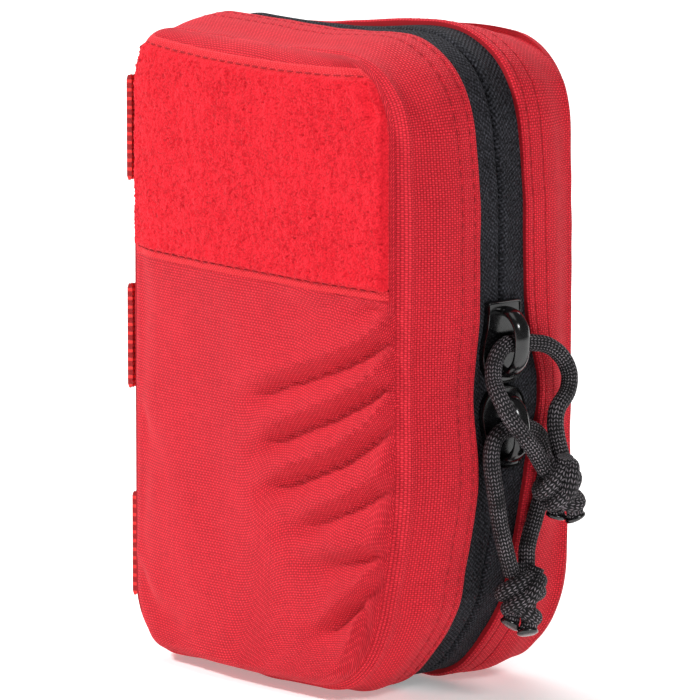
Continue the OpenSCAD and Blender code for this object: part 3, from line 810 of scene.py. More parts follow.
def panel_grid(step, inset=0.0):
    """Grid of x and z over a panel, finer towards its edges."""
    low, high = SEAM_Z + inset, TOP_Z - inset
    n = int((high - low) / step)
    t = np.linspace(0, 1, n + 1)
    t = t - 0.75 * np.sin(TAU * t) / (TAU)
    z = low + (high - low) * t
    left, right = row_span(z, inset)
    m = int(2 * (HALF_W - inset) / step)
    s = np.linspace(0, 1, m + 1)
    s = s - 0.6 * np.sin(TAU * s) / (TAU)
    x = left[:, None] + (right - left)[:, None] * s[None, :]
    return x, np.broadcast_to(z[:, None], x.shape)


# ---------------------------------------------------------------- front and back panels
def crease(x, z, points, width, depth, fade=0.35):
    """A soft fold along a run of points that fades towards its far end; negative depth is a valley."""
    p = np.asarray(points, float)
    best = np.full(x.shape, 1e9)
    where = np.zeros(x.shape)
    lengths = running(*p.T)
    for i in range(len(p) - 1):
        d = p[i + 1] - p[i]
        t = np.clip(((x - p[i, 0]) * d[0] + (z - p[i, 1]) * d[1]) / (d @ d), 0, 1)
        dist = np.hypot(x - p[i, 0] - t * d[0], z - p[i, 1] - t * d[1])
        closer = dist < best
        best = np.where(closer, dist, best)
        where = np.where(closer, (lengths[i] + t * (lengths[i + 1] - lengths[i])) / lengths[-1], where)
    grow = 0.85 + 0.35 * where
    return depth * np.exp(-(best / (width * grow)) ** 2) * (1 - smooth01((where - fade) / (1 - fade)))


# Folds gathered by the zip-side seam: run in x and z, width, depth, and where along it each starts to fade
FRONT_FOLDS = (
    ([(48.5, 89), (40, 83.4), (27, 77.7), (12.5, 72.7), (-7, 65)], 2.3, -0.8, 0.7),
    ([(48.5, 79), (41.5, 74), (30.5, 68.2), (16, 62.3), (-3, 54)], 2.4, -0.9, 0.7),
    ([(48.5, 70), (43.5, 64.8), (32.5, 57.5), (16, 50.7), (0, 44.5)], 2.4, -0.9, 0.7),
    ([(48, 54), (36, 47), (23.5, 41.7), (8, 37.5)], 2.4, -0.75, 0.6),
    ([(47, 37), (34.5, 33.8), (15, 30.2)], 2.6, -0.7, 0.5),
    ([(46.5, 31), (41.5, 24), (30.5, 17.8), (17, 12.4)], 2.4, -0.85, 0.5),
    ([(43.5, 22), (42, 16.5), (38, 10.5), (30.5, 5.5)], 1.7, -0.5, 0.6),
    ([(48, 95.5), (41, 93.8), (32, 92.8)], 1.7, -0.55, 0.4),
    ([(34, 95), (22, 92.5), (4, 91)], 2.4, -0.35, 0.4),
    ([(-46, 20), (-34, 12), (-18, 9)], 4.0, -0.5, 0.4),
    ([(-46, 60), (-36, 52), (-26, 40)], 5.0, -0.35, 0.4),
)
TOP_CORNER_FOLD = [(44, 139), (40, 146), (33, 149.3), (20, 150.2)], 1.3, -1.6, 0.4
FOAM_FACE = HALF_D + 0.5
FOLD_DEPTH = 3.1
RIDGE_ABOVE = 4.2
RIDGE_SHARE = 0.6


def gathered(x, z):
    """Depth of the folds: each valley has a fuller ridge just above it."""
    return FOLD_DEPTH * sum(
        crease(x, z, *fold) - RIDGE_SHARE * crease(x, z - RIDGE_ABOVE, *fold) for fold in FRONT_FOLDS)


def front_surface(x, z):
    """Outward depth of the front panel, as a positive distance from the zip line."""
    inset = inside_distance(x, z)
    top_roll = 3.2 + 3.5 * smooth01((z - 136) / 14)
    roll = np.sqrt(np.clip(1 - (1 - np.clip(inset / top_roll, 0, 1)) ** 2, 0, 1))
    crown = FRONT_Y - HALF_D - WALL
    shape = BACK_Y + crown * np.clip(1 - (x / (HALF_W + 2)) ** 2, 0, 1)
    shape = shape - 1.6 * smooth01((-x - 34) / 13)
    calm = 1 - smooth01((z - 94) / 4)
    shape = shape + gathered(x, z) * calm
    shape = shape + 0.5 * waves(x, z * 0.7, 26, 3) * (0.3 + 0.7 * calm)
    shape = shape + 0.1 * waves(x, z, 7, 5) * calm
    shape = shape + crease(x, z, *TOP_CORNER_FOLD) + 0.8 * calm * smooth01((x + 20) / 30)
    # The foam behind the cloth stops the valleys, softly
    shape = FOAM_FACE + np.logaddexp(0, (shape - FOAM_FACE) / 0.35) * 0.35
    edge = HALF_D - 0.6
    return edge + (shape - edge) * roll


SEAM_IN = 1.8  # how far the seams beside the spine are drawn in


def seam_shift(x):
    """The panels' seams beside the spine are drawn in, so the spine cloth rolls out past them."""
    return SEAM_IN * smooth01((-x - 36) / 11)


def arc_uv(grid):
    """Cloth coordinates of a grid: running lengths along its rows and columns from their middles."""
    maps = []
    for axis in (1, 0):
        length = np.linalg.norm(np.diff(grid, axis=axis), axis=2)
        pad = [(0, 0), (0, 0)]
        pad[axis] = (1, 0)
        total = np.cumsum(np.pad(length, pad), axis=axis)
        middle = np.take(total, [grid.shape[axis] // 2], axis=axis)
        maps.append(total - middle)
    return np.stack(maps, -1)


def panel_slab(half, side, surface):
    """Cloth of one panel, outside its foam or board."""
    x, z = panel_grid(1.05)
    shift = seam_shift(x)
    outer = np.stack([x + shift, side * surface(x, z), z], -1)
    depth = HALF_D + 0.05 - 1.7 * (1 - smooth01(inside_distance(x, z) / 4.2))
    inner = np.stack([x + shift, side * depth, z], -1)
    build = Build()
    build.slab(settle(outer), settle(inner), arc_uv(outer))
    return build.piece(f"{half}_panel_cloth", "shell", "shell_fabric", f"{half}_shell", [f"{half}_panel"])


def back_surface(x, z):
    inset = inside_distance(x, z)
    roll = np.sqrt(np.clip(1 - (1 - np.clip(inset / 2.6, 0, 1)) ** 2, 0, 1))
    shape = BACK_Y - 0.15 + 0.14 * waves(x, z, 24, 11)
    edge = HALF_D - 0.6
    return edge + (shape - edge) * roll


panel_slab("front", -1, front_surface)
panel_slab("back", 1, back_surface)


# ---------------------------------------------------------------- loop patch
PATCH_TOP, PATCH_LOW = TOP_Z - 1.6, TOP_Z - 54.5
SELVAGE = 2.0
PATCH_SHIFT = 1.3  # share of the seam shift that the patch follows
STITCH = 3.0  # pitch of the stitches


def patch_bounds(z):
    left, right = row_span(z)
    return left + 1.2, right - 0.9


def patch_dip(x, z):
    """How far the upper part of the patch dips in the middle of the panel's rolled top."""
    return 1.2 * np.clip(1 - (x / 40) ** 2, 0, 1) * smooth01((z - 100) / 45)


def patch_grid(low, high, n, m):
    """Grid over the patch between two heights, with its shares of the height and its side edges."""
    t, s = grids(np.linspace(0, 1, n), np.linspace(0, 1, m))
    z = low + (high - low) * t
    left, right = patch_bounds(z)
    x = left + (right - left) * s
    return x, z - patch_dip(x, z), t, left, right


def patch_slab(build, x, z, base, lift):
    """Lays a sheet on the panel's surface, down by its own thickness."""
    x = x + PATCH_SHIFT * seam_shift(x)
    outer, inner = (np.stack([x, -(base + h), z], -1) for h in (lift, -0.25))
    build.slab(settle(outer), settle(inner), np.stack([x, z], -1))


def build_patch():
    # Pile field between the selvages
    rng = np.random.RandomState(21)
    x, z, t, left, right = patch_grid(PATCH_LOW + SELVAGE, PATCH_TOP - SELVAGE, 104, 188)
    edge = np.minimum(np.minimum(x - left, right - x), 1.2) / 1.2
    vertical = np.minimum(np.minimum(t, 1 - t) * 46, 1.0)
    plump = np.sqrt(np.clip(1 - (1 - np.clip(np.minimum(edge, vertical), 0, 1)) ** 2, 0, 1))
    fuzz = rng.normal(0, 0.16, x.shape) + 0.12 * waves(x, z, 2.6, 31) + 0.1 * waves(x, z, 6, 33)
    build = Build()
    patch_slab(build, x, z, front_surface(x, z), 0.35 + plump * (1.25 + fuzz))
    pile = build.piece("loop_patch_pile", "pile", "loop_fabric", "front_shell", ["loop_patch"], sharp=180)
    # Flat selvages above and below it, each with its row of stitches
    build, stitches = Build(), Build()
    for low, high, at in ((PATCH_LOW, PATCH_LOW + SELVAGE + 0.6, PATCH_LOW + 1.9),
                          (PATCH_TOP - SELVAGE - 0.6, PATCH_TOP, PATCH_TOP - 1.7)):
        x, z, t, _, _ = patch_grid(low, high, 9, 110)
        lift = 0.55 * np.clip(np.minimum(np.minimum(t, 1 - t) * 12, 1), 0.3, 1)
        pucker = 0.10 * np.cos(TAU * x / STITCH) * np.exp(-((z - at) / 0.9) ** 2)
        patch_slab(build, x, z, front_surface(x, z), lift - pucker)
        for k in np.arange(-44, 46, STITCH):
            xs = np.linspace(k - 1.05, k + 1.05, 7)
            zs = at - patch_dip(xs, at)
            left, right = patch_bounds(zs)
            if xs[0] < left[0] + 0.5 or xs[-1] > right[0] - 0.5:
                continue
            dip = 0.28 * np.abs(np.linspace(-1, 1, 7)) ** 3
            ys = -(front_surface(xs, zs) + 0.62 - dip)
            stitches.tube(settle(np.stack([xs + PATCH_SHIFT * seam_shift(xs), ys, zs], 1)), 0.2, sides=6)
    build.piece("loop_patch_selvages", "selvage", "loop_fabric", "front_shell")
    stitches.piece("loop_patch_stitching", "thread", "loop_fabric", "front_shell", sharp=180)


build_patch()


# ---------------------------------------------------------------- side strips with the zip
def section_y(start, rolls):
    """Depths across a strip: plain steps up to its rolled seam, with finer ones where asked."""
    seam = [23.9, 24.5, 25.1, 25.6, 26.0, 26.35, 26.65, 26.85, 27.0]
    return np.array(sorted(list(start) + list(rolls) + seam))


STITCH_ROWS = (9.1, 12.9)
COIL, CLOTH_T, RIB = 1.5, 1.1, 1.24  # pitch of the zip coil, cloth thickness, pitch of the webbing's ribs


def strip_surface(side, path, s, y, spine=False):
    """Outward distance of a side strip from the seam outline; grids of length s against depth y."""
    px, _, nx, nz = (path[:, i][:, None] if y.ndim == 2 else path[:, i] for i in range(4))
    if spine:
        swell = np.zeros_like(y)
    else:
        swell = np.where(y <= 12, BULGE, BULGE * (1 - (np.clip(y - 12, 0, 99) / 15) ** 2))
        on_top = np.clip(nz, 0, 1) ** 2 * (px < 45)
        swell = swell - (0.9 if side < 0 else 1.9) * on_top * smooth01((y - 5) / 14)
    low_corner = np.clip(-nz, 0, 1) * np.clip(1.8 * nx, 0, 1)
    hollow = 2.3 * low_corner * np.exp(-((y - 19) / 5.5) ** 2) - 0.45 * np.exp(-((y - 20.5) / 2.6) ** 2)
    sideways = (0.3 if side < 0 else 0.0) + 0.7 * np.abs(nx) ** 1.5 if y.ndim == 2 else 1.0
    ridge = (1.9 if spine else 1.55) * sideways * np.exp(-((y - 25.2) / 1.25) ** 2)
    out = swell + ridge + hollow
    out = np.where(y > 25.4, out * np.clip((27.15 - y) / 1.75, 0, 1) ** 0.6, out)
    if not spine:
        for r in STITCH_ROWS:
            out = out - 0.24 * np.exp(-((y - r) / 0.28) ** 2)
            out = out + 0.05 * np.cos(TAU * s / STITCH) * np.exp(-((y - r) / 1.1) ** 2)
        out = out - 0.7 * np.clip(1 - (y - ZIP_EDGE) / 0.7, 0, 1) ** 2
    seed = 40 + side
    slow = waves(s, y * 1.4, 34, seed) * 0.3 + waves(s, y * 0.8, 12, seed + 7) * 0.1
    pull = waves(s, y * 0.35, 9, seed + 13) * 0.22 * np.exp(-((y - 24.5) / 3.5) ** 2)
    return out + (slow + pull) * smooth01((27 - y) / 3)


def strip_uv(grid, along):
    """Cloth coordinates of a strip: its running length, and the distance across it over its folds."""
    across = np.cumsum(np.pad(np.linalg.norm(np.diff(grid, axis=1), axis=2), [(0, 0), (1, 0)]), axis=1)
    return np.stack([along, across.mean(0)[None, :] + 0 * along], -1)


def strip_piece(name, path, s, out, y, depth, nodes, body):
    """Cloth of a strip at distances out and depths y from the outline; depth is y from the zip line."""
    outer, inner = place(path, out, y), place(path, out - CLOTH_T, y)
    for g in (outer, inner):
        g[..., 0] += SEAM_IN * np.clip(-path[:, 2], 0, 1)[:, None] * smooth01((depth - 20) / 6)
    build = Build()
    build.slab(settle(outer), settle(inner), strip_uv(outer, s))
    return build.piece(name, "shell", "shell_fabric", body, nodes)


def side_strip(half, side):
    path, s = zip_path()
    fine = [r + d for r in STITCH_ROWS for d in (-0.45, -0.2, 0, 0.2, 0.45)]
    y = section_y([ZIP_EDGE + d for d in (0, 0.25, 0.7, 1.2)] + fine, np.linspace(ZIP_EDGE + 1.7, 23.2, 17))
    grid_s, grid_y = grids(s, y)
    spread = zip_spread(path, side)
    real_y = grid_y + spread[:, None] * np.clip(1 - (grid_y - ZIP_EDGE) / 14, 0, 1)
    piece = strip_piece(f"{half}_side_strip", path, grid_s, strip_surface(side, path, grid_s, grid_y),
                        side * real_y, grid_y, [f"{half}_gusset"], f"{half}_shell")
    # Stitch rows along the zip
    build = Build()
    for r in STITCH_ROWS:
        for k in np.arange(STITCH, s[-1] - STITCH, STITCH):
            ks = np.linspace(k - 1.05, k + 1.05, 6)
            local = sample(path, s, ks)
            yy = r + np.interp(ks, s, spread) * (1 - (r - ZIP_EDGE) / 14)
            level = strip_surface(side, local, ks, np.full(6, r))
            lift = level + 0.12 - 0.22 * np.abs(np.linspace(-1, 1, 6)) ** 3
            build.tube(settle(beside(local, lift, side * yy)), 0.17, sides=5)
    build.piece(f"{half}_side_strip_stitching", "thread", "shell_fabric", f"{half}_shell", sharp=180)


def zip_spread(path, side):
    """How far the cloth edge stands further from the zip line beside the two sliders."""
    z = path[:, 1]
    near = np.clip(path[:, 2], 0, 1) ** 4
    return near * ((4.6 if side > 0 else 2.3) * np.exp(-((z - 73) / 13) ** 2))


def zip_tape(half, side):
    path, s = zip_path(1.5)
    y = np.array([0.16, 0.3, 0.55, 0.9, 1.3, 1.8, 2.4, 3.0, 3.6, 4.3, 5.2, 6.2, 7.2, 8.4, 9.8, 11.3])
    grid_s, grid_y = grids(s, y)
    hump = 0.32 * np.exp(-((grid_y - 1.9) / 1.0) ** 2)
    out = 0.95 - np.exp(-(grid_y / 0.45) ** 2) + hump
    out = out + 0.05 * np.sin(TAU * grid_s / COIL) * np.exp(-((grid_y - 1.8) / 0.9) ** 2)
    out = out + 0.10 * waves(grid_s, grid_y, 20, 60 + side)
    real_y = side * (grid_y + zip_gap(path)[:, None] * np.exp(-(grid_y / 6) ** 2))
    build = Build()
    outer, inner = (settle(place(path, level, real_y)) for level in (out, out - 0.7))
    build.slab(outer, inner, np.stack([grid_s, grid_y], -1))
    build.piece(f"{half}_zip_tape_cloth", "tape", "zip_tape", f"{half}_shell", [f"{half}_zip_tape"])


def zip_gap(path):
    """Half the opening of the zip between the noses of the two sliders."""
    near = np.clip(path[:, 2], 0, 1) ** 4
    return near * 1.1 * np.exp(-((path[:, 1] - 75.4) / 3.2) ** 2)


def zip_coil(half, side):
    """A nylon coil behind the tape, wound round its sewing cord."""
    path, s = zip_path(1.5)
    keep = (s > 6) & (s < s[-1] - 6)
    path, s = path[keep], s[keep]
    turns = (s[-1] - s[0]) / COIL
    t = np.linspace(0, turns, int(turns * 10))
    at = s[0] + t * COIL
    angle = TAU * t
    y = 1.85 + 1.15 * np.cos(angle) * (1 + 0.12 * np.cos(angle)) + np.interp(at, s, zip_gap(path))
    build = Build()
    build.tube(settle(beside(sample(path, s, at), -0.75 + 0.62 * np.sin(angle), side * y)), 0.27, sides=5)
    build.tube(settle(beside(path, -0.75, side * (1.85 + zip_gap(path)))), 0.3, sides=6)
    build.piece(f"{half}_zip_teeth", "coil", "zip_coil", f"{half}_shell", [f"{half}_zip_coil"], sharp=180)


for make in (side_strip, zip_tape, zip_coil):
    for half, side in SIDES:
        make(half, side)


# ---------------------------------------------------------------- spine and its webbing, across the hinge
def spine_panel():
    path, s = spine_path(1.4)
    half = section_y([], np.linspace(0, 23, 30))
    y = np.concatenate([-half[:0:-1], half])
    grid_s, grid_y = grids(s, y)
    depth = np.abs(grid_y)
    out = np.where(grid_y < 0, *(strip_surface(side, path, grid_s, side * grid_y, True) for side in (-1, 1)))
    piece = strip_piece("spine_cloth", path, grid_s, out * smooth01(depth / 6), grid_y, depth,
                        ["front_spine", "back_spine"], None)


spine_panel()


def webbing_band(build, path, cross, turn, width, thickness, s=None, columns=26, edge=0.35):
    """A strap of rounded section along a path, with scalloped edges from its ribs.

    cross points along its width; turn is the sign that makes its face look outwards, or that direction.
    """
    path, cross = np.asarray(path, float), np.array(cross, float)
    s = running(*path.T) if s is None else s
    if np.ndim(turn) == 0:
        normals = turn * np.cross(np.gradient(path, axis=0), cross)
        normals = normals / np.linalg.norm(normals, axis=1)[:, None]
    else:
        normals = np.array([turn] * len(s), float)
    w = np.linspace(-1, 1, columns)
    round_off = edge * np.clip((np.abs(w) - 0.93) / 0.07, 0, 1) ** 2
    outer, inner, uv = [], [], []
    for si, centre, normal in zip(s, path, normals):
        ribs = math.cos(TAU * si / RIB)
        across = w * (width / 2 + 0.10 * ribs)
        lift = (thickness / 2 - round_off)[:, None] * normal
        outer.append(centre + across[:, None] * cross + lift + 0.05 * ribs * normal)
        inner.append(centre + across[:, None] * cross - lift)
        uv.append(np.stack([np.full(columns, si), across], 1))
    build.slab(np.array(outer), np.array(inner), np.array(uv))


def webbing_row(name, z, profile, point, stitches, body, nodes):
    """A row of webbing at height z, with upright lines of stitches; point places a profile's pairs."""
    line3 = curve_through([(at, out, 0) for at, out in profile[0]], profile[1])
    ats, outs = line3[:, 0], line3[:, 1]
    build = Build()
    webbing_band(build, np.array([point(at, out) + (z,) for at, out in zip(ats, outs)]), (0, 0, 1), -1,
                 WEBBING_W, WEBBING_T)
    for at in stitches:
        x, y = point(at, np.interp(at, ats, outs) + WEBBING_T / 2 + 0.02)
        for k in np.arange(-WEBBING_W / 2 + 1.5, WEBBING_W / 2 - 1.5, 1.7):
            line3 = [(x, y, height) for height in np.linspace(z + k, z + k + 1.2, 4)]
            build.tube(line3, 0.2, sides=5, up=(1, 0, 0), material=1)
    build.piece(name, "webbing thread", "webbing", body, nodes)


for label, z in zip(("bottom", "middle", "top"), ROW_Z):
    flat = 1.5 if z < 40 else 0
    knots = [(-25.3, 2.3 - flat), (-24.4, 2.7 - flat), (-22.6, 2.6 - flat), (-20.4, 1.9), (-17.6, 2.0),
             (-12, 2.05), (0, 2.0), (12, 2.05), (17.6, 2.0), (20.4, 1.9), (22.6, 2.6), (24.4, 2.7),
             (25.3, 2.3)]
    webbing_row(f"spine_webbing_{label}", z, (knots, 0.4), lambda y, out: (-HALF_W - out, y),
                (-23.6, -22.6, 22.6, 23.6), None, [f"front_spine_row_{label}", f"back_spine_row_{label}"])


# ---------------------------------------------------------------- rear webbing, straps and studs
for label, z in zip(("bottom", "middle", "top"), ROW_Z):
    end = HALF_W - 4
    right = end - (9 if z < 40 else 0)
    knots = [(-end, 0.65), (-end + 3.4, 0.65), (-end + 5.2, 1.05), (-end + 7.4, 1.95), (-22, 2.1),
             (-6.5, 1.95), (-4.4, 1.1), (-2.2, 0.65), (0, 0.6), (2.2, 0.65), (4.4, 1.1), (6.5, 1.95),
             (22, 2.1), (end - 7.4, 1.95), (end - 5.2, 1.05), (end - 3.4, 0.65), (end, 0.65)]
    knots = [(x * right / end if x > 0 else x, out) for x, out in knots]
    webbing_row(f"rear_webbing_{label}", z, (knots, 0.5), lambda x, out: (x, BACK_Y + out),
                (-end + 1.2, -end + 2.4, -0.6, 0.6, right - 2.4, right - 1.2),
                "back_shell", [f"rear_row_{label}"])


def strap(label, x):
    """A strap that runs behind the rows, stands off a little between them and lies flat at both ends."""
    low, high = node_box(f"strap_{label}")
    zs = np.arange(low[2], high[2] + 0.01, 0.6)
    rows = np.abs(zs[:, None] - np.array(ROW_Z)[None, :]).min(1)
    between = smooth01((rows - WEBBING_W / 2) / 5)
    out = 0.72 + 1.15 * between * (0.7 + 0.3 * np.sin(zs / 9 + x))
    out = np.where((zs < low[2] + 3) | (zs > high[2] - 3), 0.72, out)
    build = Build()
    webbing_band(build, np.stack([x + 0 * zs, BACK_Y + out, zs], 1), (1, 0, 0), 1,
                 WEBBING_W - 0.6, WEBBING_T - 0.1, s=zs - low[2])
    build.piece(f"{label}_strap_webbing", "webbing", "webbing", "back_shell", [f"strap_{label}"])


strap("left", -22)
strap("right", 22)


def press_studs():
    low, high = node_box("press_studs")
    z, face = (low[2] + high[2]) / 2, low[1]
    # Radius and height over the strap, from the middle of the cap to its underside
    profile = [(2.2, 2.2), (4.0, 1.95), (5.1, 1.4), (5.6, 0.9), (5.9, 0.7), (6.0, 0.45), (5.95, 0.15),
               (5.6, -0.2)]
    build = Build()
    for x in (-22, 22):
        cap = rings_about([(r, face + h + 0.35) for r, h in profile], x, z, 48)
        build.add(cap, cap[..., [0, 2]], grid_faces(*cap.shape[:2], wrap=True) + end_faces(*cap.shape[:2]))
        ring = rings_about([(3.1, face + 2.42)], x, z, 48)[0]
        build.tube(np.concatenate([ring, ring[:1]]), 0.22, sides=6, up=(0, 1, 0))
    build.piece("press_stud_caps", "stud", "studs", "back_shell", ["press_studs"], sharp=55)


press_studs()


# ---------------------------------------------------------------- sliders and bridges
def slider_outline():
    """Plan of the slider plate, nose up: wide shoulders near the nose and a narrower flat tail."""
    half = [(0, 9.5), (2.6, 9.3), (4.6, 8.2), (6.0, 6.0), (6.5, 3.2), (6.1, 0.2), (5.3, -3.2), (4.9, -6.4),
            (4.8, -8.6), (4.4, -9.4), (0, -9.5)]
    right = curve_through([(x, y, 0) for x, y in half], 0.5)[:, :2]
    return np.concatenate([right, right[::-1][1:-1] * [-1, 1]])


def make_slider(end, nose):
    low, high = node_box(f"{end}_slider")
    z = (low[2] + high[2]) / 2
    x0 = high[0] - 1.8
    plan = slider_outline()
    n = len(plan)
    dome = 0.35 * np.clip(1 - (plan[:, 0] / 6.5) ** 2, 0, 1)

    def plate(rings):
        """Scaled copies of the plan; each ring is its scale and its height, and the upper ones are domed."""
        return np.array([np.stack([x0 + h + dome * (h > 1), plan[:, 0] * scale,
                                   z + nose * plan[:, 1] * scale], 1) for scale, h in rings])

    build = Build()
    # Domed outer plate with a thin raised rim and flanges that fold over the tape
    rings = plate([(0.80, 1.15), (0.90, 1.15), (0.955, 1.12), (0.975, 1.42), (1.0, 1.45), (1.02, 1.2),
                   (1.02, -0.15), (0.97, -0.35), (0.86, -0.3)])
    last, top = (len(rings) - 1) * n, len(rings) * n
    flat = np.concatenate([rings.reshape(-1, 3), [[x0 + 1.75, 0, z], [x0 - 0.3, 0, z]]])
    faces = grid_faces(len(rings), n, wrap=True)
    faces += [(top, (j + 1) % n, j) for j in range(n)]
    faces += [(top + 1, last + j, last + (j + 1) % n) for j in range(n)]
    build.add(flat, flat[:, [1, 2]], faces)
    # Inner plate behind the coils, and the post
    rings = plate([(0.78, -3.6), (0.84, -3.4), (0.84, -4.6), (0.78, -4.8)])
    build.add(rings, rings[..., [1, 2]], grid_faces(4, n, wrap=True) + end_faces(4, n))
    post = [(x0 - 4.2, 0, z + nose * 5.5), (x0 + 0.9, 0, z + nose * 5.5)]
    build.tube(curve_through(post, 0.8), 0.55, sides=12)
    build.piece(f"{end}_slider_body", "slider", "slider", f"{end}_zip_pull", [f"{end}_slider"], sharp=50)
    # Bridge: a flat-sided arch, wider than it is thick
    build = Build()
    arch = [(0.6, -7.1), (2.2, -7.2), (4.5, -6.6), (6.7, -4.5), (7.4, -1.9), (7.45, 0), (7.3, 1.7),
            (6.3, 4.5), (4.1, 6.6), (1.8, 7.2), (0.6, 7.1)]
    path = curve_through([(x0 + dx, 0, z + nose * dz) for dx, dz in arch], 0.35)
    build.tube(path, 1.15, sides=20, squeeze=1.9, up=(0, 1, 0))
    build.piece(f"{end}_slider_bridge", "slider", "slider", f"{end}_zip_pull", [f"{end}_bridge"], sharp=60)


make_slider("upper", -1)
make_slider("lower", 1)


# ---------------------------------------------------------------- inside: linings, bindings and supplies
LINING_IN = WALL + 1.8


def lining(half, side):
    face = min(abs(corner[1]) for corner in node_box(f"{half}_lining"))
    x, z = panel_grid(2.2, LINING_IN)
    puff = 0.35 * waves(x, z, 30, 71 + side) + 0.12 * waves(x, z, 9, 74 + side)
    near = smooth01(inside_distance(x, z, LINING_IN) / 6)
    outer = np.stack([x, side * (face + 0.25 - 0.2 * puff * near), z], -1)
    inner = np.stack([x, side * (face + 0.75 + 0 * x), z], -1)
    build = Build()
    build.slab(settle(outer, True), settle(inner, True), np.stack([x, z], -1))
    piece = build.piece(f"{half}_lining_cloth", "lining", "lining", f"{half}_shell", [f"{half}_lining"])


def bound_edge(half, side):
    """Folded tape that binds the seam allowance round the inside of the half."""
    path = np.concatenate([zip_path(2.0)[0], spine_path(2.0)[0][1:-1]])
    s, angle = grids(running(path[:, 0], path[:, 1]), circle(14))
    out = -WALL - 0.95 + 0.85 * np.sign(np.cos(angle)) * np.abs(np.cos(angle)) ** 0.6
    y = 25.5 + 1.25 * np.sign(np.sin(angle)) * np.abs(np.sin(angle)) ** 0.6
    grid = settle(place(path, out + 0.05 * np.sin(s * 2.1), side * y), True)
    grid[..., 0] += SEAM_IN * smooth01((-grid[..., 0] - 36) / 9)
    build = Build()
    faces = grid_faces(*s.shape, wrap=True) + closing_faces(*s.shape)
    build.add(grid, np.stack([s, 6 * angle / PI], -1), faces)
    build.piece(f"{half}_bound_seam", "binding", "binding", f"{half}_shell", [f"{half}_binding"], sharp=60)


for make in (lining, bound_edge):
    for half, side in SIDES:
        make(half, side)


def packet(name, node, material, slot, corner, seed, wrinkle, body):
    """A soft pillow as large as its node, with crimped edges."""
    low, high = node_box(node)
    (cx, cy, cz), (hw, hd, hh) = (low + high) / 2, (high - low) / 2
    u, v = grids(*[np.linspace(-1, 1, 40)] * 2)
    x, z = cx + hw * u, cz + hh * v
    fill = np.clip(np.minimum(hw - np.abs(x - cx), hh - np.abs(z - cz)) / corner, 0, 1) ** 0.35
    thick = (hd - 0.15) * (0.12 + 0.88 * fill)
    rough = wrinkle * (waves(x, z, 8, seed) + 0.4 * waves(x, z, 3, seed + 1)) * fill
    rear, front = (settle(np.stack([x, y, z], -1), True)
                   for y in (cy + thick - 0.5 * rough, cy - thick + rough))
    build = Build()
    build.slab(rear, front, np.stack([x - low[0], z - low[2]], -1))
    return build.piece(name, material, slot, body, [node], sharp=60)


packet("plaster_sachet", "plaster_pack", "sachet", "paper_pack", 5, 81, 0.25, "front_shell")
packet("wipe_sachet", "wipes_pack", "wipe", "paper_pack", 5, 84, 0.25, "front_shell")
packet("folded_foil_blanket", "foil_blanket", "foil", "clear_pack", 6, 87, 0.3, "front_shell")
bandage = packet("folded_bandage", "triangular_bandage", "cotton", "cotton", 3, 90, 0.25, "back_shell")


def folded_layers():
    """Edges of the cloth's folds, round the sides of the stack."""
    low, high = node_box("triangular_bandage")
    x0, z0, x1, z1 = low[0] + 0.9, low[2] + 0.9, high[0] - 0.9, high[2] - 0.9
    build = Build()
    for k in range(5):
        y = low[1] + 1.2 + k * (high[1] - low[1] - 2.4) / 4
        left = [(x0, z1 - 3), (x0, (z0 + z1) / 2), (x0, z0 + 3), (x0 + 1.6, z0 + 0.7), (x0 + 5, z0)]
        right = [(x1 - (x - x0), z) for x, z in left[::-1]]
        path = curve_through([(x, y, z) for x, z in left + [(0, z0 - 0.2 + 0.2 * (k % 2))] + right], 1.0)
        build.tube(path, 0.85, sides=8, up=(0, 1, 0))
    build.piece("folded_bandage_edges", "cotton", "cotton", "back_shell", sharp=180)


folded_layers()


def rolled(name, node, material, layers):
    """A bandage rolled up along X: slightly uneven wraps, a loose end and stepped spiral ends."""
    low, high = node_box(node)
    cy, cz = (low[1:] + high[1:]) / 2
    r = (high[1:] - low[1:]).min() / 2 - 0.15
    x0, x1 = low[0], high[0]
    n = 72
    angle = circle(n)

    def ring(x, radius):
        return np.stack([np.full(n, x), cy + radius * np.cos(angle), cz + radius * np.sin(angle)], 1)

    rows = []
    for x in [x0 + 0.2] + list(np.linspace(x0 + 0.6, x1 - 0.6, 44)) + [x1 - 0.2]:
        loose = 0.5 * np.exp(-((angle - 5.2) % (TAU)) * 1.2)
        at_end = 0.35 * (x in (x0 + 0.2, x1 - 0.2))
        rows.append(ring(x, r - 0.6 - at_end + 0.22 * waves(angle * r, np.full(n, x), 11, 95) + loose))
    steps = [(0.45 * (k % 2) + 0.15 * math.sin(k * 1.7), (r - 0.7) * (1 - (k + 1) / (layers * 2 + 0.6)))
             for k in range(layers * 2)]
    first = [ring(x0 + 0.2 + depth, radius) for depth, radius in steps]
    last = [ring(x1 - 0.2 - depth, radius) for depth, radius in steps]
    rows = np.array(first[::-1] + rows + last)
    build = Build()
    uv = np.stack([rows[..., 0], (angle * r)[None, :] + 0 * rows[..., 0]], -1)
    build.add(settle(rows, True), uv, grid_faces(len(rows), n, wrap=True) + end_faces(len(rows), n))
    build.piece(name, material, material, "back_shell", [node], sharp=60)


rolled("rolled_elastic_bandage", "elastic_bandage", "bandage", 9)
rolled("rolled_gauze", "gauze_roll", "gauze", 8)


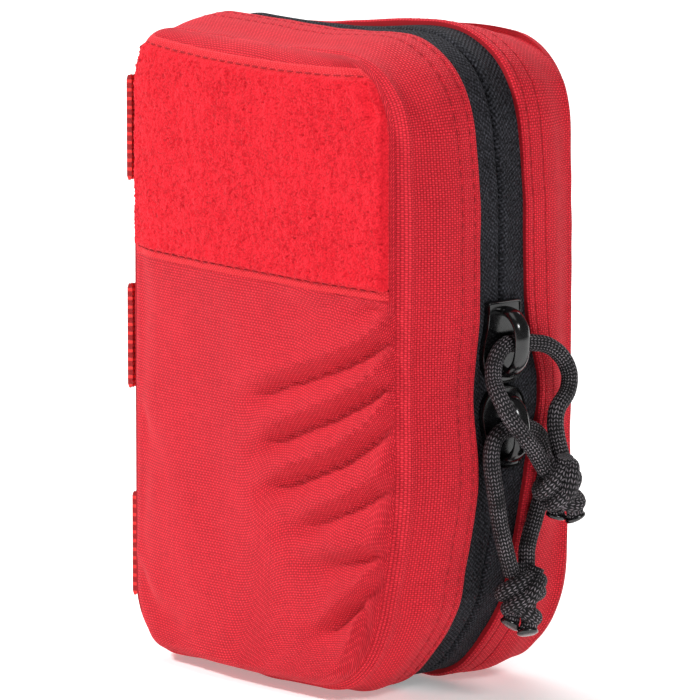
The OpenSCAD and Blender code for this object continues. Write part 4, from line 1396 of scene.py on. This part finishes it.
def tape_reel():
    low, high = node_box("tape_roll")
    cx, middle, cz = (low + high) / 2
    y0, y1 = low[1], high[1]
    n = 96
    for name, node, r_in, r_out, wraps, material, slot in (
            ("medical_tape_reel", "tape_roll", 9.1, 16.85, 9, "plaster_tape", "medical_tape"),
            ("tape_reel_core", "tape_core", 7.05, 9.0, 1, "core", "core")):
        rings = [(r_in, y0 + 0.3), (r_in + 0.3, y0)]
        for i in range(1, wraps):
            rad = r_in + (r_out - r_in) * i / wraps
            rings += [(rad - 0.15, y0 + 0.02), (rad, y0 + 0.22), (rad + 0.15, y0 + 0.02)]
        rings += [(r_out - 0.3, y0), (r_out, y0 + 0.3), (r_out - 0.06, middle), (r_out, y1 - 0.3),
                  (r_out - 0.3, y1), (r_in + 0.3, y1), (r_in, y1 - 0.3)]
        if node == "tape_core":
            rings = [(r, y + (0.8 if y < middle else -0.2)) for r, y in rings]
        points = rings_about(rings, cx, cz, n)
        build = Build()
        uv = np.stack([points[..., 1], (circle(n) * 13)[None, :] + 0 * points[..., 0]], -1)
        build.add(points, uv, grid_faces(len(rings), n, wrap=True) + closing_faces(len(rings), n))
        build.piece(name, material, slot, "back_shell", [node], sharp=35)


tape_reel()


def elastic(name, node, path, cross, turn, width, body="back_shell"):
    """Elastic that holds something down on the lining."""
    build = Build()
    webbing_band(build, path, cross, turn, width, 0.9, columns=20, edge=0.2)
    build.piece(name, "elastic", "elastic", body, [node])


for label, node, roll, r in (("bandage", "bandage_band", "elastic_bandage", 13.45),
                             ("gauze", "gauze_band", "gauze_roll", 12.45)):
    low, high = node_box(node)
    cz = sum(corner[2] for corner in node_box(roll)) / 2
    face, cy = high[1], low[1] + r + 0.5
    foot = [(face - 0.6, r + 4.0), (face - 0.7, r + 1.2), (face - 1.8, r + 0.1)]
    over = [(cy + r * math.cos(a), cz + r * math.sin(a)) for a in np.radians(np.linspace(-90, -270, 40))]
    loop = [(y, cz - d) for y, d in foot] + over + [(y, cz + d) for y, d in foot[::-1]]
    path = curve_through([(0, y, z) for y, z in loop], 0.7) + [(low[0] + high[0]) / 2, 0, 0]
    elastic(f"elastic_over_{label}", node, path, (1, 0, 0), -1, high[0] - low[0])

low, high = node_box("cloth_band")
y0, y1, x1 = low[1], high[1], high[0] - 0.5
loop = [(-x1 - 4, y1 - 0.6), (-x1 - 1.2, y1 - 0.7), (-x1, y1 - 2.0), (-x1, y0 + 2.4), (-x1 + 0.6, y0 + 0.9),
        (-x1 + 2.4, y0 + 0.5)]
loop += [(x, y0 + 0.45) for x in (-20, 0, 20)] + [(-x, y) for x, y in loop[::-1]]
path = curve_through([(x, y, 0) for x, y in loop], 0.8) + [0, 0, (low[2] + high[2]) / 2]
elastic("elastic_over_cloth", "cloth_band", path, (0, 0, 1), 1, high[2] - low[2])


def net_pocket():
    """Pocket of open net: a front of knitted diamonds that bellows out from three sewn sides."""
    low, high = node_box("mesh_pocket")
    x0, x1, z0, z1 = low[0] + 0.6, high[0] - 0.6, low[2] + 0.6, high[2] - 1.0
    y_back, y_front = low[1], high[1] - 0.5
    cells, seam = 33, 0.09
    build = Build()

    def net_point(u, v):
        """u runs from side seam to side seam, v from the bottom seam upwards."""
        x = x0 + (x1 - x0) * np.clip((u - seam) / (1 - 2 * seam), 0, 1)
        z = z0 + (z1 - z0) * np.clip((v - seam) / (1 - seam), 0, 1)
        depth = np.clip(np.minimum(np.minimum(u, 1 - u), v) / seam, 0, 1)
        sag = 0.35 * np.sin(PI * np.clip(u, 0, 1)) * np.clip(v, 0, 1)
        return np.stack([x, y_back + (y_front - y_back - sag) * depth, z], -1)

    u = np.linspace(0, 1, 100)
    for k in range(-cells - 1, cells + 1):
        for slope in (1, -1):
            v = slope * (u * cells - (k if slope > 0 else k + cells + 1)) / cells
            keep = (v >= 0) & (v <= 1)
            if keep.sum() < 4:
                continue
            path = net_point(u[keep], v[keep])
            step = np.linalg.norm(np.diff(path, axis=0), axis=1)
            path = path[np.concatenate([[True], step > 1e-3])]
            if len(path) >= 4:
                build.tube(settle(path, True), 0.24, sides=4)
    build.piece("net_pocket", "net", "mesh", "front_shell", ["mesh_pocket"], sharp=180)
    low, high = node_box("pocket_trim")
    _, cy, cz = (low + high) / 2
    xs = np.linspace(low[0], high[0], 90)
    build = Build()
    webbing_band(build, np.stack([xs, cy + 0.25 * np.sin(xs / 1.9), cz + 0 * xs], 1), (0, 0, 1), (0, 1, 0),
                 high[2] - low[2], 1.1, s=xs - xs[0], columns=14)
    build.piece("pocket_elastic_trim", "elastic", "elastic", "front_shell", ["pocket_trim"])


net_pocket()

# CAD nodes that stay as they are, with their own materials
for node, material in (("front_foam", "foam"), ("back_stiffener", "stiffener"), ("front_zip_stops", "stop"),
                       ("back_zip_stops", "stop")):
    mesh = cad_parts[node].data
    mesh.materials.clear()
    mesh.materials.append(M[material])
    if "weave" not in mesh.uv_layers:
        layer = mesh.uv_layers.new(name="weave")
        for loop in mesh.loops:
            co = mesh.vertices[loop.vertex_index].co
            layer.data[loop.index].uv = (co.x / MM, co.z / MM)


# ---------------------------------------------------------------- floor and light
def floor():
    mesh = bpy.data.meshes.new("floor")
    mesh.from_pydata([(x, y, -0.0002) for x, y in ((-8, -8), (8, -8), (8, 8), (-8, 8))], [], [(0, 1, 2, 3)])
    obj = bpy.data.objects.new("floor", mesh)
    bpy.context.scene.collection.objects.link(obj)
    s = Shade("floor", roughness=0.9, specular=0.1)
    s.set("Base Color", (0.92, 0.92, 0.92, 1))
    s.set("Emission Color", (1, 1, 1, 1))
    s.set("Emission Strength", 0.3)
    mesh.materials.append(s.material)


def area_light(name, azimuth, elevation, distance, size, power):
    """A soft box that faces the object."""
    light = bpy.data.lights.new(name, "AREA")
    light.shape = "SQUARE"
    light.size = size
    light.energy = power
    return put(bpy.data.objects.new(name, light), (0, 0, 0.07), azimuth, elevation, distance)


floor()
world = bpy.data.worlds.new("studio")
bpy.context.scene.world = world
world.use_nodes = True
world.node_tree.nodes["Background"].inputs["Color"].default_value = (1, 1, 1, 1)
world.node_tree.nodes["Background"].inputs["Strength"].default_value = 0.11
area_light("key_light", -35, 42, 1.4, 0.22, 18.5)
area_light("top_light", 60, 80, 1.2, 0.6, 1.4)
area_light("side_light", 85, 35, 1.5, 0.4, 9)

backlight = area_light("floor_light", 229, 38, 3.6, 3.0, 120)
backlight.rotation_quaternion = (1, 0, 0, 0)
